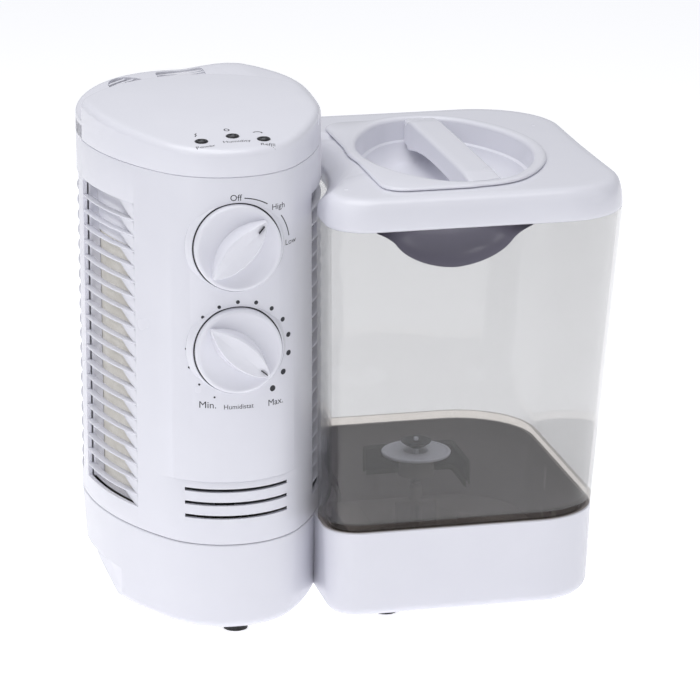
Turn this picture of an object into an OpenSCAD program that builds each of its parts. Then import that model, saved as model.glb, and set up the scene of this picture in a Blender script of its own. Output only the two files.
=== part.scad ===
// Evaporative cool-mist humidifier: an oval fan tower and a lift-off water tank side by side on one base.
// X is the width, Y runs from the front (-) to the back (+), Z is up from the surface it stands on.

/* [Tower] */
// Width of the oval tower
tower_w = 150; // [146:1:152]
// Distance from the tower's widest point to its front
tower_front = 128; // [126:1:130]
// Distance from the tower's widest point to its back
tower_back = 88; // [86:1:90]
// Height at which the tower housing ends and its top cover starts
housing_top = 290; // [286:1:294]
// Highest point of the top cover
cover_top = 318; // [316:1:320]
// Wall thickness of the white mouldings
wall = 2.6; // [2.2:0.1:3.0]

/* [Base] */
// Height of the base, up to the seam under the tower and the tank
base_top = 59; // [57:1:61]
// Height of the rubber feet
foot_h = 3; // [2:0.5:4]

/* [Tank] */
// Thickness of the clear tank wall
tank_wall = 2.4; // [2:0.1:3]
// Top of the smoked rim, where the clear tank wall starts
rim_top = 64.5; // [63.5:0.5:65.5]
// Underside of the white tank lid
lid_low = 253; // [251:1:255]
// Upper face of the white tank lid
lid_top = 272.5; // [271:0.5:274]
// Clearance between the tank and the tower it wraps around
tower_gap = 4; // [3.5:0.5:5]
// Half-width of the oval hand recess in the tank cap
bowl_a = 54; // [50:1:55]
// Half-depth of the oval hand recess in the tank cap
bowl_b = 86; // [82:1:87]

/* [Controls] */
// Radius of each control knob
knob_r = 26.5; // [25:0.5:27]
// Height of the fan speed knob's axis
speed_z = 247; // [246:1:248]
// Height of the humidistat knob's axis
humid_z = 183; // [180:1:184]
// Where the speed pointer stands at rest, clockwise from straight up
speed_rest = 44; // [40:1:48]
// Where the humidistat pointer stands at rest, clockwise from straight up
humid_rest = 131; // [120:1:140]

/* [Louvres] */
// Number of louvre fins in each side grille
fin_n = 19; // [15:1:19]
// Height from one fin to the next
fin_pitch = 9.7; // [9.6:0.1:9.7]
// Height of the lowest fin
fin_z = 80; // [79:1:81]

/* [Hidden] */

$fn = 96;
eps = 0.01;

tower_x = -87;
tower_y = 23.5;
front_r = 50;
back_r = 62;
white = [0.93, 0.93, 0.95];
smoke = [0.45, 0.42, 0.42, 0.6];
clear = [0.85, 0.88, 0.90, 0.35];
black = [0.10, 0.10, 0.11];
steel = [0.72, 0.73, 0.75];

// The tank's sides lean out towards the top: each is a straight line from the rim to the lid.
rim_side = [-30, 147, -101, 119.5];
lid_side = [-30, 161.3, -113, 120.7];
rim_corner = [22, 42, 52, 20];
lid_corner = [25, 46, 56, 22];
valve_x = 56;
valve_y = 28;
valve_top = 66;
pin_r = 1.6;
fan_x = tower_x;
fan_y = 30;
fan_r = 47;
deck_z = 236;
shroud_top = 262;
knob_y = -102.6;
knob_h = 15;
seat_y = -102.2;
bowl_x = 66.5;
bowl_y = 1;
cap_top = lid_top + 2.6;
window_y = [-60, 10, 24, 84];
window_z = [73, 266];
pad_z = [74, 234];
pad_t = 2;
cover_dome = 1127;
crest_y = 60;
deck_edge_r = 85;
light_xy = [[-104.6, -85.3], [-84.6, -79.6], [-67, -86.5]];
wick_r = 56;
wick_bend = 14;
wick_t = 18;
guard_y = -48;
float_y = -72;
cord_z = 76;
screw_r = 1.5;

function lerp(a, b, t) = a + (b - a) * t;
function tank_t(z) = (z - rim_top) / (lid_low - rim_top);
function tank_side(z, i) = lerp(rim_side[i], lid_side[i], tank_t(z));
function tank_corner(z, i) = lerp(rim_corner[i], lid_corner[i], tank_t(z));
// Centres of the four corner circles of the tank at height z: front left, front right, back right, back left
function tank_centre(z, i) = [
    (i == 0 || i == 3) ? tank_side(z, 0) + tank_corner(z, i) : tank_side(z, 1) - tank_corner(z, i),
    i < 2 ? tank_side(z, 2) + tank_corner(z, i) : tank_side(z, 3) - tank_corner(z, i)
];

// Half of a four-arc oval, towards -Y, of half-width a, depth b and end radius r, grown by g
module half_oval(a, b, r, g) {
    k = b - r;
    d = a - r;
    h = (k * k - d * d) / (2 * d);
    side_r = a + h;
    tangent_y = k + (r + g) * k / sqrt(h * h + k * k);
    intersection() {
        translate([-h, 0]) circle(side_r + g);
        translate([h, 0]) circle(side_r + g);
        union() {
            translate([-a - g, -tangent_y]) square([2 * (a + g), tangent_y]);
            translate([0, -k]) circle(r + g);
        }
    }
}

module tower_oval(g = 0) {
    translate([tower_x, tower_y]) {
        half_oval(tower_w / 2, tower_front, front_r, g);
        mirror([0, 1]) half_oval(tower_w / 2, tower_back, back_r, g);
    }
}

module tower_prism(z0, z1, g = 0) {
    translate([0, 0, z0]) linear_extrude(z1 - z0) tower_oval(g);
}

// A block of the tank's plan between two heights, shrunk by inset at the bottom and at the top
module tank_block(z0, z1, inset0, inset1) {
    hull() {
        for (i = [0:3]) {
            translate(concat(tank_centre(z0, i), z0)) cylinder(r = tank_corner(z0, i) - inset0, h = eps, $fn = 64);
            translate(concat(tank_centre(z1, i), z1 - eps))
                cylinder(r = tank_corner(z1, i) - inset1, h = eps, $fn = 64);
        }
    }
}

module box(x0, x1, y0, y1, z0, z1) {
    translate([x0, y0, z0]) cube([x1 - x0, y1 - y0, z1 - z0]);
}

// A round bar along Y
module bar_y(x, z, y0, y1, r) {
    translate([x, y0, z]) rotate([-90, 0, 0]) cylinder(r = r, h = y1 - y0);
}

module ring(x, y, z0, z1, r_out, r_in) {
    translate([x, y, z0]) difference() {
        cylinder(r = r_out, h = z1 - z0);
        translate([0, 0, -1]) cylinder(r = r_in, h = z1 - z0 + 2);
    }
}

// ---------------------------------------------------------------- base

// The tower's half of the base, drawn in by inset at the bottom
module tower_foot_block(z0, z1, inset0, inset1) {
    hull() {
        translate([0, 0, z0]) linear_extrude(eps) tower_oval(-inset0);
        translate([0, 0, z1 - eps]) linear_extrude(eps) tower_oval(-inset1);
    }
}

module base_tray() color(white) {
    floor_z = foot_h + 3;
    difference() {
        union() {
            tower_foot_block(foot_h, base_top, 3.4, 0);
            tank_block(foot_h + 5, base_top, 0.6, 0);
            tank_block(foot_h, foot_h + 5, 6, 0.6);
        }
        // the lower left rear corner is stepped up, where the mains lead leaves
        difference() {
            box(-170, -149, -40, 120, 0, 26);
            translate([tower_x, tower_y, 0]) cylinder(r = 50, h = 40);
        }
        // wells of the wick and of the tank
        difference() {
            tower_prism(floor_z, base_top + 1, -wall - 3.4);
            box(-170, -146, -43, 120, 0, 29);
        }
        difference() {
            tank_block(floor_z, base_top + 1, wall + 1.2, wall);
            tower_prism(0, base_top + 2, 0);
        }
        // water passage between the wells
        box(-30, -4, 0, 44, floor_z, 28);
        // feet sit in shallow pads
        for (p = foot_places()) translate([p[0], p[1], 0]) cylinder(r = 6, h = foot_h + 1);
    }
    // post that lifts the tank valve, on a cross of ribs
    translate([valve_x, valve_y, floor_z - eps]) cylinder(r = 4, h = 43.9 - floor_z);
    box(valve_x - 14, valve_x - 3.5, valve_y - 1.2, valve_y + 1.2, floor_z - eps, 34);
    box(valve_x + 3.5, valve_x + 14, valve_y - 1.2, valve_y + 1.2, floor_z - eps, 34);
    // L-shaped step block beside the tower
    difference() {
        union() {
            box(-4, 30, -60, -36, floor_z - eps, 34);
            box(-4, 14, -36.01, 12, floor_z - eps, 40);
        }
        box(2, 10, -44, -40, 30, 41);
    }
    // curved rib that steers the water across the tank well
    translate([52, -52, floor_z - eps]) difference() {
        cylinder(r = 74, h = 24);
        translate([0, 0, -1]) cylinder(r = 62, h = 27);
        translate([-80, -80, -1]) cube([160, 94, 27]);
        translate([-80, -80, -1]) cube([104, 160, 27]);
    }
    // guide post of the float
    translate([tower_x, float_y, floor_z - eps]) cylinder(r = 1.9, h = 40 - floor_z);
    // ledge that the wick stands on
    for (x = [-1, 1]) box(tower_x + x * 46 - 2, tower_x + x * 46 + 2, 0, 60, floor_z - eps, 12);
}

function foot_places() = [[-87, -88], [-40, 70], [-118, 70], [10, -80], [115, -68], [110, 84], [8, 98]];

module rubber_feet() color(black) {
    for (p = foot_places()) translate([p[0], p[1], 0]) {
        cylinder(r = 7.5, h = foot_h);
        translate([0, 0, foot_h - eps]) cylinder(r = 5.9, h = 0.9);
    }
}

// Hollow float that rides up its guide post as the base fills
module float() color([0.9, 0.9, 0.86]) {
    translate([tower_x, float_y, 7]) difference() {
        cylinder(r = 12, h = 16);
        translate([0, 0, -1]) cylinder(r = 1.97, h = 18);
    }
}

module float_magnet() color(steel) ring(tower_x, float_y, 23, 26, 6, 2.6);

// ---------------------------------------------------------------- wick

module stadium(r) {
    for (s = [-1, 1]) translate([fan_x, fan_y + s * wick_bend]) circle(r);
    translate([fan_x - r, fan_y - wick_bend]) square([2 * r, 2 * wick_bend]);
}

module wick_filter() color([0.80, 0.77, 0.70]) {
    translate([0, 0, 14]) linear_extrude(216) difference() {
        stadium(wick_r);
        stadium(wick_r - wick_t);
    }
}

module wick_frame() color(white) {
    inner = wick_r - wick_t - 2;
    for (z = [12, 230]) translate([0, 0, z]) linear_extrude(2) difference() {
        stadium(wick_r);
        stadium(inner);
    }
    // ties inside the wick
    for (s = [-1, 1]) box(fan_x + s * (inner + 1) - 1, fan_x + s * (inner + 1) + 1, fan_y - 4, fan_y + 4, 12, 232);
}

// ---------------------------------------------------------------- tower housing

module side_window(s, y0, y1) {
    box(tower_x + (s > 0 ? 30 : -90), tower_x + (s > 0 ? 90 : -30), y0, y1, window_z[0], window_z[1]);
}

module housing_shell() color(white) {
    difference() {
        union() {
            difference() {
                tower_prism(base_top + 0.4, housing_top);
                tower_prism(base_top, housing_top + 1, -wall);
            }
            // round seats for the two knobs
            for (z = [speed_z, humid_z]) bar_y(tower_x, z, seat_y, -96, knob_r + 1.6);
            // bosses for the rear screws of the fan deck
            for (i = [2, 3]) translate([deck_screw_places()[i][0], deck_screw_places()[i][1], 216])
                cylinder(r = 4.2, h = deck_z - 216);
            // bosses for the top cover's screws
            for (p = cover_screw_places()) translate([p[0], p[1], 272]) cylinder(r = 4, h = housing_top - 272);
        }
        // the windows of the side grilles
        for (s = [-1, 1]) {
            side_window(s, window_y[0], window_y[1]);
            side_window(s, window_y[2], window_y[3]);
        }
        for (z = [speed_z, humid_z]) {
            bar_y(tower_x, z, -110, seat_y, knob_r + 0.8);
            bar_y(tower_x, z, -110, -90, 5);
        }
        // three air slits low on the front
        for (z = [77, 85.5, 94]) box(tower_x - 31.7, tower_x + 31.7, -120, -85, z - 1.1, z + 1.1);
        // hole of the cord grommet, and the screw pilots
        bar_y(tower_x, cord_z, 100, 120, 5.5);
        for (i = [2, 3]) translate([deck_screw_places()[i][0], deck_screw_places()[i][1], 222])
            cylinder(r = screw_r, h = 30);
        for (p = cover_screw_places()) translate([p[0], p[1], 278]) cylinder(r = screw_r, h = 30);
    }
}

function deck_screw_places() = [
    [tower_x - 40, guard_y + 4.5], [tower_x + 40, guard_y + 4.5], [tower_x - 30, 97.6], [tower_x + 30, 97.6]
];
function cover_screw_places() = [
    [tower_x - 44, -70], [tower_x + 44, -70], [tower_x - 40, 89.6], [tower_x + 40, 89.6]
];

// A side grille: curved fins on an upright at each end of the two windows
module louvre(s) {
    intersection() {
        union() {
            for (i = [0:fin_n - 1]) {
                z = fin_z + i * fin_pitch;
                difference() {
                    tower_prism(z, z + 1.6);
                    tower_prism(z - 1, z + 3, -9.6);
                }
            }
            // uprights
            difference() {
                tower_prism(window_z[0] + 0.3, window_z[1] - 0.3, -6.2);
                tower_prism(window_z[0] - 1, window_z[1] + 1, -9.6);
                for (w = [[window_y[0] + 3, window_y[1] - 3], [window_y[2] + 3, window_y[3] - 3]])
                    side_window(s, w[0], w[1]);
            }
        }
        union() {
            for (w = [[window_y[0] + 0.3, window_y[1] - 0.3], [window_y[2] + 0.3, window_y[3] - 0.3]])
                box(tower_x + (s > 0 ? 20 : -90), tower_x + (s > 0 ? 90 : -20), w[0], w[1], 70, 270);
            // the fins' roots join the uprights behind the middle post
            intersection() {
                box(tower_x + (s > 0 ? 20 : -90), tower_x + (s > 0 ? 90 : -20), -58, 82, 70, 270);
                tower_prism(70, 270, -wall - 0.3);
            }
        }
    }
}

module louvre_left() color(white) louvre(-1);

module louvre_right() color(white) louvre(1);

// A dust pad of pressed fibre, held against the back of a grille's uprights
module dust_pad(s) {
    difference() {
        intersection() {
            tower_prism(pad_z[0], pad_z[1], -9.7);
            box(tower_x + (s > 0 ? 20 : -90), tower_x + (s > 0 ? 90 : -20), guard_y + 0.4, 65.5,
                pad_z[0], pad_z[1]);
        }
        tower_prism(pad_z[0] - 1, pad_z[1] + 1, -9.7 - pad_t);
    }
}

module pad_left() color([0.86, 0.84, 0.79]) dust_pad(-1);

module pad_right() color([0.86, 0.84, 0.79]) dust_pad(1);

// ---------------------------------------------------------------- top cover

module cover_plan_ring(z0, z1) {
    translate([tower_x, -29.5, z0]) cylinder(r = deck_edge_r, h = z1 - z0, $fn = 128);
}

module cover_dome_ball(g) {
    translate([tower_x, crest_y, cover_top - cover_dome]) sphere(r = cover_dome + g, $fn = 400);
}

// Seat of a light's bezel, a little below the cover's domed face
function light_seat(p) =
    cover_top - (pow(p[0] - tower_x, 2) + pow(p[1] - crest_y, 2)) / (2 * cover_dome) - 1;

// Air outlet behind the crest of the cover: the crescent left between the oval and the raised plate
module outlet_plan(g) {
    difference() {
        intersection() {
            tower_oval(-9 - g);
            translate([tower_x - 90, 46]) square([180, 80]);
        }
        translate([tower_x, -29.5]) circle(deck_edge_r + 7 + g);
        translate([tower_x + 34 - g, 20]) square([80, 100]);
        translate([tower_x - 114 + g, 20]) square([62, 100]);
    }
}

module top_cover() color(white) {
    rear_z = 311;
    difference() {
        intersection() {
            tower_prism(housing_top, cover_top + 2);
            union() {
                intersection() {
                    cover_dome_ball(0);
                    cover_plan_ring(280, 330);
                }
                box(tower_x - 80, tower_x + 80, -120, 120, housing_top, rear_z - 4.5);
                intersection() {
                    box(tower_x - 80, tower_x + 80, -10, 120, housing_top, rear_z);
                    cover_dome_ball(0);
                }
            }
        }
        // hollow inside, in two levels
        intersection() {
            tower_prism(housing_top - 1, cover_top, -wall);
            union() {
                box(tower_x - 80, tower_x + 80, -120, 120, housing_top - 1, rear_z - 6.9);
                intersection() {
                    cover_dome_ball(-2.4);
                    translate([tower_x, -29.5, 290]) cylinder(r = deck_edge_r - 2.4, h = 40);
                }
            }
        }
        for (p = light_xy) {
            translate([p[0], p[1], 295]) cylinder(r = 3.05, h = 30);
            translate([p[0], p[1], light_seat(p)]) cylinder(r = 4.1, h = 30);
        }
        translate([0, 0, 298]) linear_extrude(30) outlet_plan(0);
    }
    // screw bosses reach down to the housing's bosses
    for (p = cover_screw_places()) ring(p[0], p[1], housing_top, 304.6, 4, screw_r + 0.05);
    // posts of the status board
    for (x = [-8, 11]) translate([tower_x + x, -87, 299.6]) cylinder(r = 2, h = 7);
}

module outlet_grille() color([0.9, 0.9, 0.92]) {
    slat = 2.2;
    translate([0, 0, 305]) linear_extrude(2.6) difference() {
        outlet_plan(0.15);
        for (i = [0:3]) difference() {
            tower_oval(-12 - i * 2 * slat);
            tower_oval(-12 - i * 2 * slat - slat);
            translate([tower_x - 100, 0]) square([62, 120]);
            translate([tower_x + 30, 0]) square([62, 120]);
            translate([tower_x - 1.2, 0]) square([2.4, 120]);
        }
    }
}

module light_bezels() color(black) {
    for (p = light_xy) {
        ring(p[0], p[1], light_seat(p), light_seat(p) + 1.9, 4, 2);
        ring(p[0], p[1], 303, light_seat(p) + eps, 3, 2);
    }
}

module light_lenses() color([0.75, 0.75, 0.78]) {
    for (p = light_xy) translate([p[0], p[1], 302]) cylinder(r = 1.95, h = light_seat(p) + 1.4 - 302);
}

module status_board() color([0.1, 0.4, 0.2]) {
    box(tower_x - 22, tower_x + 24, -92, -74, 298, 299.6);
    for (p = light_xy) translate([p[0], p[1], 299.6]) cylinder(r = 1.6, h = 2.4);
}

// ---------------------------------------------------------------- inside the tower

// Wall between the wet wick chamber and the controls, with bosses for the front of the fan deck
module splash_guard() color([0.86, 0.86, 0.88]) {
    difference() {
        union() {
            box(tower_x - 48, tower_x + 48, guard_y - 2, guard_y, 64, 285);
            for (z = [[64, window_z[0] - 1], [window_z[1] + 1, 285]])
                box(tower_x - 56, tower_x + 56, guard_y - 2, guard_y, z[0], z[1]);
            for (i = [0, 1]) translate([deck_screw_places()[i][0], deck_screw_places()[i][1], 216])
                cylinder(r = 4.8, h = deck_z - 216);
        }
        for (i = [0, 1]) translate([deck_screw_places()[i][0], deck_screw_places()[i][1], 222])
            cylinder(r = screw_r, h = 30);
    }
}

module fan_deck() color([0.86, 0.86, 0.88]) {
    translate([0, 0, deck_z]) linear_extrude(2.5) difference() {
        intersection() {
            union() {
                tower_oval(-10);
                for (p = deck_screw_places()) translate([p[0], p[1]]) circle(4.2);
                for (s = [-1, 1]) translate([tower_x + s * 30 - 3, 85]) square([6, 12]);
            }
            tower_oval(-wall - 0.3);
            translate([tower_x - 80, guard_y + 0.3]) square([160, 180]);
        }
        translate([fan_x, fan_y]) circle(fan_r + 3);
        for (p = deck_screw_places()) translate([p[0], p[1]]) circle(1.7);
    }
}

module fan_shroud() color([0.30, 0.30, 0.32]) ring(fan_x, fan_y, deck_z + 2.5, shroud_top, fan_r + 5.5, fan_r + 3);

module motor_bracket() color([0.30, 0.30, 0.32]) {
    translate([fan_x, fan_y, shroud_top]) linear_extrude(2.5) difference() {
        union() {
            difference() {
                circle(fan_r + 5.5);
                circle(fan_r);
            }
            circle(27);
            for (a = [45:90:315]) rotate([0, 0, a]) translate([24, -4]) square([25, 8]);
        }
        circle(6);
        for (a = [0:120:240]) rotate([0, 0, a]) translate([19, 0]) circle(1.7);
    }
}

module fan_motor() color(steel) {
    z = shroud_top + 2.5;
    difference() {
        union() {
            translate([fan_x, fan_y, z]) cylinder(r = 25, h = 26);
            translate([fan_x, fan_y, z + 26]) cylinder(r = 9, h = 5);
        }
        translate([fan_x, fan_y, z - 1]) cylinder(r = 2.55, h = 22);
        for (a = [0:120:240]) translate([fan_x, fan_y, z - 1]) rotate([0, 0, a])
            translate([19, 0, 0]) cylinder(r = screw_r, h = 8);
    }
}

module motor_screws() color(steel) {
    for (a = [0:120:240]) translate([fan_x, fan_y, shroud_top]) rotate([0, 0, a]) translate([19, 0, 0]) {
        translate([0, 0, -2]) cylinder(r = 2.8, h = 2);
        translate([0, 0, -eps]) cylinder(r = screw_r, h = 8);
    }
}

module deck_screws() color(steel) {
    for (p = deck_screw_places()) translate([p[0], p[1], deck_z + 2.5]) {
        cylinder(r = 3, h = 2);
        translate([0, 0, -12]) cylinder(r = screw_r, h = 12 + eps);
    }
}

module cover_screws() color(steel) {
    for (p = cover_screw_places()) translate([p[0], p[1], 280]) {
        cylinder(r = screw_r, h = 22);
    }
}

module motor_shaft() color(steel) {
    translate([fan_x, fan_y, 243]) cylinder(r = 2.5, h = 40);
}

module fan_wheel() color([0.25, 0.26, 0.30]) {
    z = 241;
    blades = 7;
    difference() {
        union() {
            translate([fan_x, fan_y, z]) cylinder(r = 15, h = 17);
            intersection() {
                ring(fan_x, fan_y, z, z + 17, fan_r, 14);
                for (i = [0:blades - 1]) translate([fan_x, fan_y, z + 8.5]) rotate([0, 0, i * 360 / blades])
                    rotate([32, 0, 0]) translate([13, -13, -0.9]) cube([40, 26, 1.8]);
            }
        }
        translate([fan_x, fan_y, z + 2]) cylinder(r = 2.5, h = 20);
    }
}

// ---------------------------------------------------------------- controls

module switch_body(z, w, y0, y1) {
    difference() {
        union() {
            box(tower_x - w / 2, tower_x + w / 2, y0, y1, z - w / 2, z + w / 2);
            bar_y(tower_x, z, -95.9, y0 + eps, 4.6);
        }
        bar_y(tower_x, z, -97, y1 - 4, 3.05);
    }
}

module speed_switch() color([0.15, 0.15, 0.17]) {
    switch_body(speed_z, 32, -88, -64);
    for (x = [-9, 0, 9]) box(tower_x + x - 2, tower_x + x + 2, -64 - eps, -56, speed_z - 0.4, speed_z + 0.4);
}

module humidistat() color([0.85, 0.82, 0.72]) {
    switch_body(humid_z, 40, -88, -64);
    box(tower_x - 16, tower_x + 16, -64 - eps, -58, humid_z - 2, humid_z + 2);
}

module control_shaft(z) {
    bar_y(tower_x, z, knob_y - 6, -69, 3);
}

module speed_shaft() color(steel) control_shaft(speed_z);

module humidistat_shaft() color(steel) control_shaft(humid_z);

// Dished knob with a leaf-shaped grip across its face, pointing straight up before it is turned
module knob(z, angle) {
    translate([tower_x, knob_y, z]) rotate([0, angle, 0]) difference() {
        union() {
            rotate([90, 0, 0]) cylinder(r = knob_r, h = 4);
            rotate([90, 0, 0]) translate([0, 0, 4 - eps]) cylinder(r1 = knob_r, r2 = knob_r - 2.2, h = 2.2);
            intersection() {
                translate([-49.6, 0, 0]) rotate([90, 0, 0]) cylinder(r = 57, h = knob_h, $fn = 128);
                translate([49.6, 0, 0]) rotate([90, 0, 0]) cylinder(r = 57, h = knob_h, $fn = 128);
                rotate([90, 0, 0]) cylinder(r = knob_r - 1.4, h = knob_h);
            }
        }
        rotate([90, 0, 0]) translate([0, 0, -1]) cylinder(r = 3, h = 7);
    }
}

module speed_knob() color(white) knob(speed_z, speed_rest);

module humidistat_knob() color(white) knob(humid_z, humid_rest);

module control_board() color([0.1, 0.4, 0.2]) {
    box(tower_x - 40, tower_x + 40, -61.6, -60, 96, 158);
    box(tower_x - 30, tower_x - 6, -78, -61.6, 102, 130);
    box(tower_x + 4, tower_x + 24, -76, -61.6, 104, 120);
    bar_y(tower_x + 18, 142, -80, -61.6, 7);
    // standoffs on the splash guard
    for (x = [-36, 36], z = [100, 154]) bar_y(tower_x + x, z, -60, -50, 2.5);
}

module float_sensor() color([0.15, 0.15, 0.17]) {
    box(tower_x - 5, tower_x + 5, -62, -50, 66, 72);
}

module cord_grommet() color(black) {
    difference() {
        union() {
            bar_y(tower_x, cord_z, 105, 113, 5.45);
            bar_y(tower_x, cord_z, 111.6, 115, 8);
            bar_y(tower_x, cord_z, 103, 106, 6.6);
        }
        bar_y(tower_x, cord_z, 100, 118, 3.3);
    }
}

// ---------------------------------------------------------------- tank

module tank_shell() color(clear) {
    difference() {
        tank_block(rim_top, lid_low, 0, 0);
        tower_prism(rim_top - 1, lid_low + 1, tower_gap);
        difference() {
            tank_block(rim_top - 1, lid_low + 1, tank_wall, tank_wall);
            tower_prism(rim_top - 2, lid_low + 2, tower_gap + tank_wall);
        }
        scoop_ball(0.1);
    }
}

module tank_bottom() color(smoke) {
    tub_z = 46;
    difference() {
        union() {
            difference() {
                union() {
                    tank_block(base_top + 0.4, rim_top, 0, 0);
                    tank_block(tub_z, base_top + 1, 6.5, 5);
                }
                tower_prism(0, rim_top + 1, tower_gap);
                difference() {
                    tank_block(tub_z + 2.4, rim_top + 1, 9, 7.4);
                    tower_prism(0, rim_top + 2, tower_gap + 3);
                }
            }
            // raised valve housing in the middle of the floor
            box(valve_x - 31, valve_x + 31, valve_y - 24, valve_y + 24, tub_z + 2.4 - eps, valve_top);
        }
        box(valve_x - 28.6, valve_x + 28.6, valve_y - 21.6, valve_y + 21.6, tub_z - 1, valve_top - 2.4);
        translate([valve_x, valve_y, tub_z]) cylinder(r = 12, h = 30);
    }
}

// Cup-shaped finger grip let into the front of the tank under its lid
module scoop_ball(g) {
    intersection() {
        translate([45, -112, 276]) sphere(r = 46 + g, $fn = 128);
        box(-20, 110, -130, -86 + g, 225 - g, lid_low + 1);
    }
}

module finger_scoop() color([0.42, 0.40, 0.46]) {
    difference() {
        intersection() {
            scoop_ball(0);
            tank_block(rim_top, lid_low, 0, 0);
            box(-20, 110, -130, -86, 225, lid_low);
        }
        translate([45, -112, 276]) sphere(r = 44, $fn = 128);
        box(-20, 110, -130, -88, lid_low - 0.001, lid_low + 1);
    }
}

module tank_lid() color(white) {
    difference() {
        union() {
            tank_block(lid_low, lid_low + 11, 0, -0.6);
            hull() for (t = [0:15:90]) {
                z = lid_low + 11 + (lid_top - lid_low - 11) * sin(t);
                inset = -0.6 + 9 * (1 - cos(t));
                for (i = [0:3]) translate(concat(tank_centre(lid_low + 11, i), z - eps))
                    cylinder(r = tank_corner(lid_low + 11, i) - inset, h = eps, $fn = 64);
            }
        }
        tower_prism(0, 400, tower_gap);
        // the lid falls away towards the tower
        hull() {
            translate([0, 0, 262]) linear_extrude(eps) tower_oval(tower_gap);
            translate([0, 0, lid_top + 2]) linear_extrude(eps) tower_oval(tower_gap + 13);
        }
        // opening for the cap, and the hollow under the lid
        translate([0, 0, lid_low - 1]) linear_extrude(40) bowl_oval(3.2);
        difference() {
            tank_block(lid_low - 1, lid_top - 2.6, 4.8, 8);
            tower_prism(0, 400, tower_gap + 17);
        }
    }
}

module bowl_oval(g) {
    translate([bowl_x, bowl_y]) {
        half_oval(bowl_a, bowl_b, 36, g);
        mirror([0, 1]) half_oval(bowl_a, bowl_b, 36, g);
    }
}

module valve_seat() color(white) {
    translate([valve_x, valve_y, 0]) {
        difference() {
            translate([0, 0, valve_top]) cylinder(r = 22.5, h = 2);
            translate([0, 0, valve_top - 1]) cylinder(r = 7, h = 4);
        }
        // threaded neck with the spider that guides the pin
        ring(0, 0, 52, valve_top, 11.8, 9.8);
        difference() {
            union() {
                translate([0, 0, 52]) cylinder(r = 3.4, h = 8);
                for (a = [0:120:240]) rotate([0, 0, a]) translate([2.5, -1, 52]) cube([8.3, 2, 3]);
            }
            translate([0, 0, 50]) cylinder(r = pin_r + 0.06, h = 12);
        }
    }
}

module valve_pin() color(white) {
    translate([valve_x, valve_y, 44]) {
        cylinder(r = pin_r, h = 33);
        // spring collar
        translate([0, 0, 1]) cylinder(r = 3.2, h = 1.2);
    }
}

module valve_seal() color(black) {
    translate([valve_x, valve_y, 0]) difference() {
        union() {
            translate([0, 0, 69.8]) cylinder(r1 = 3.4, r2 = 10, h = 4.4);
            translate([0, 0, 74.2 - eps]) cylinder(r = 10, h = 0.8);
        }
        translate([0, 0, 69]) cylinder(r = pin_r, h = 7);
    }
}

module valve_spring() color(steel) {
    // closed sleeve of the coil's outer and inner diameters
    translate([valve_x, valve_y, 0]) ring(0, 0, 46.2, 52, 3, 2.2);
}

// ---------------------------------------------------------------- tank cap

module cap_plan() {
    // waisted on the tower side, round on the other
    difference() {
        union() {
            bowl_oval(8);
            translate([16, -91]) square([60, 150]);
            translate([16, -85]) circle(12);
            translate([16, -97]) square([52, 60]);
            translate([22, 70]) circle(18);
        }
        tower_oval(tower_gap + 13);
    }
}

module cap_plate() color(white) {
    difference() {
        translate([0, 0, lid_top]) linear_extrude(cap_top - lid_top) cap_plan();
        translate([0, 0, lid_top - 1]) linear_extrude(6) bowl_oval(0);
    }
}

module cap_bowl() color(white) {
    floor_z = 246;
    difference() {
        union() {
            translate([0, 0, 256]) linear_extrude(lid_top - 256) bowl_oval(2);
            translate([0, 0, floor_z]) linear_extrude(256 - floor_z + eps) bowl_oval(-10);
        }
        translate([0, 0, 258]) linear_extrude(40) bowl_oval(0);
        translate([0, 0, floor_z + 2.2]) linear_extrude(40) bowl_oval(-12.2);
    }
}

module cap_handle() color(white) {
    difference() {
        intersection() {
            box(bowl_x - 6, bowl_x + 16, -100, 100, 258, cap_top + 1.4);
            linear_extrude(300) bowl_oval(-0.06);
        }
        // finger space under the bar
        translate([bowl_x - 20, bowl_y, 258 - 118 + 8]) rotate([0, 90, 0]) cylinder(r = 118, h = 60, $fn = 200);
    }
}

module cap_seal() color([0.25, 0.25, 0.27]) {
    translate([0, 0, lid_low + 5]) linear_extrude(3) difference() {
        bowl_oval(3.1);
        bowl_oval(2);
    }
}

base_tray();
rubber_feet();
float();
float_magnet();
wick_filter();
wick_frame();
housing_shell();
louvre_left();
louvre_right();
pad_left();
pad_right();
top_cover();
outlet_grille();
light_bezels();
light_lenses();
status_board();
splash_guard();
fan_deck();
fan_shroud();
motor_bracket();
fan_motor();
motor_screws();
deck_screws();
cover_screws();
speed_switch();
humidistat();
control_board();
float_sensor();
cord_grommet();
motor_shaft();
fan_wheel();
speed_knob();
speed_shaft();
humidistat_knob();
humidistat_shaft();
tank_shell();
tank_bottom();
tank_lid();
finger_scoop();
valve_seat();
valve_pin();
valve_seal();
valve_spring();
cap_plate();
cap_bowl();
cap_handle();
cap_seal();
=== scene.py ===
import math

import bmesh
import bpy
from mathutils import Matrix, Vector


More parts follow.
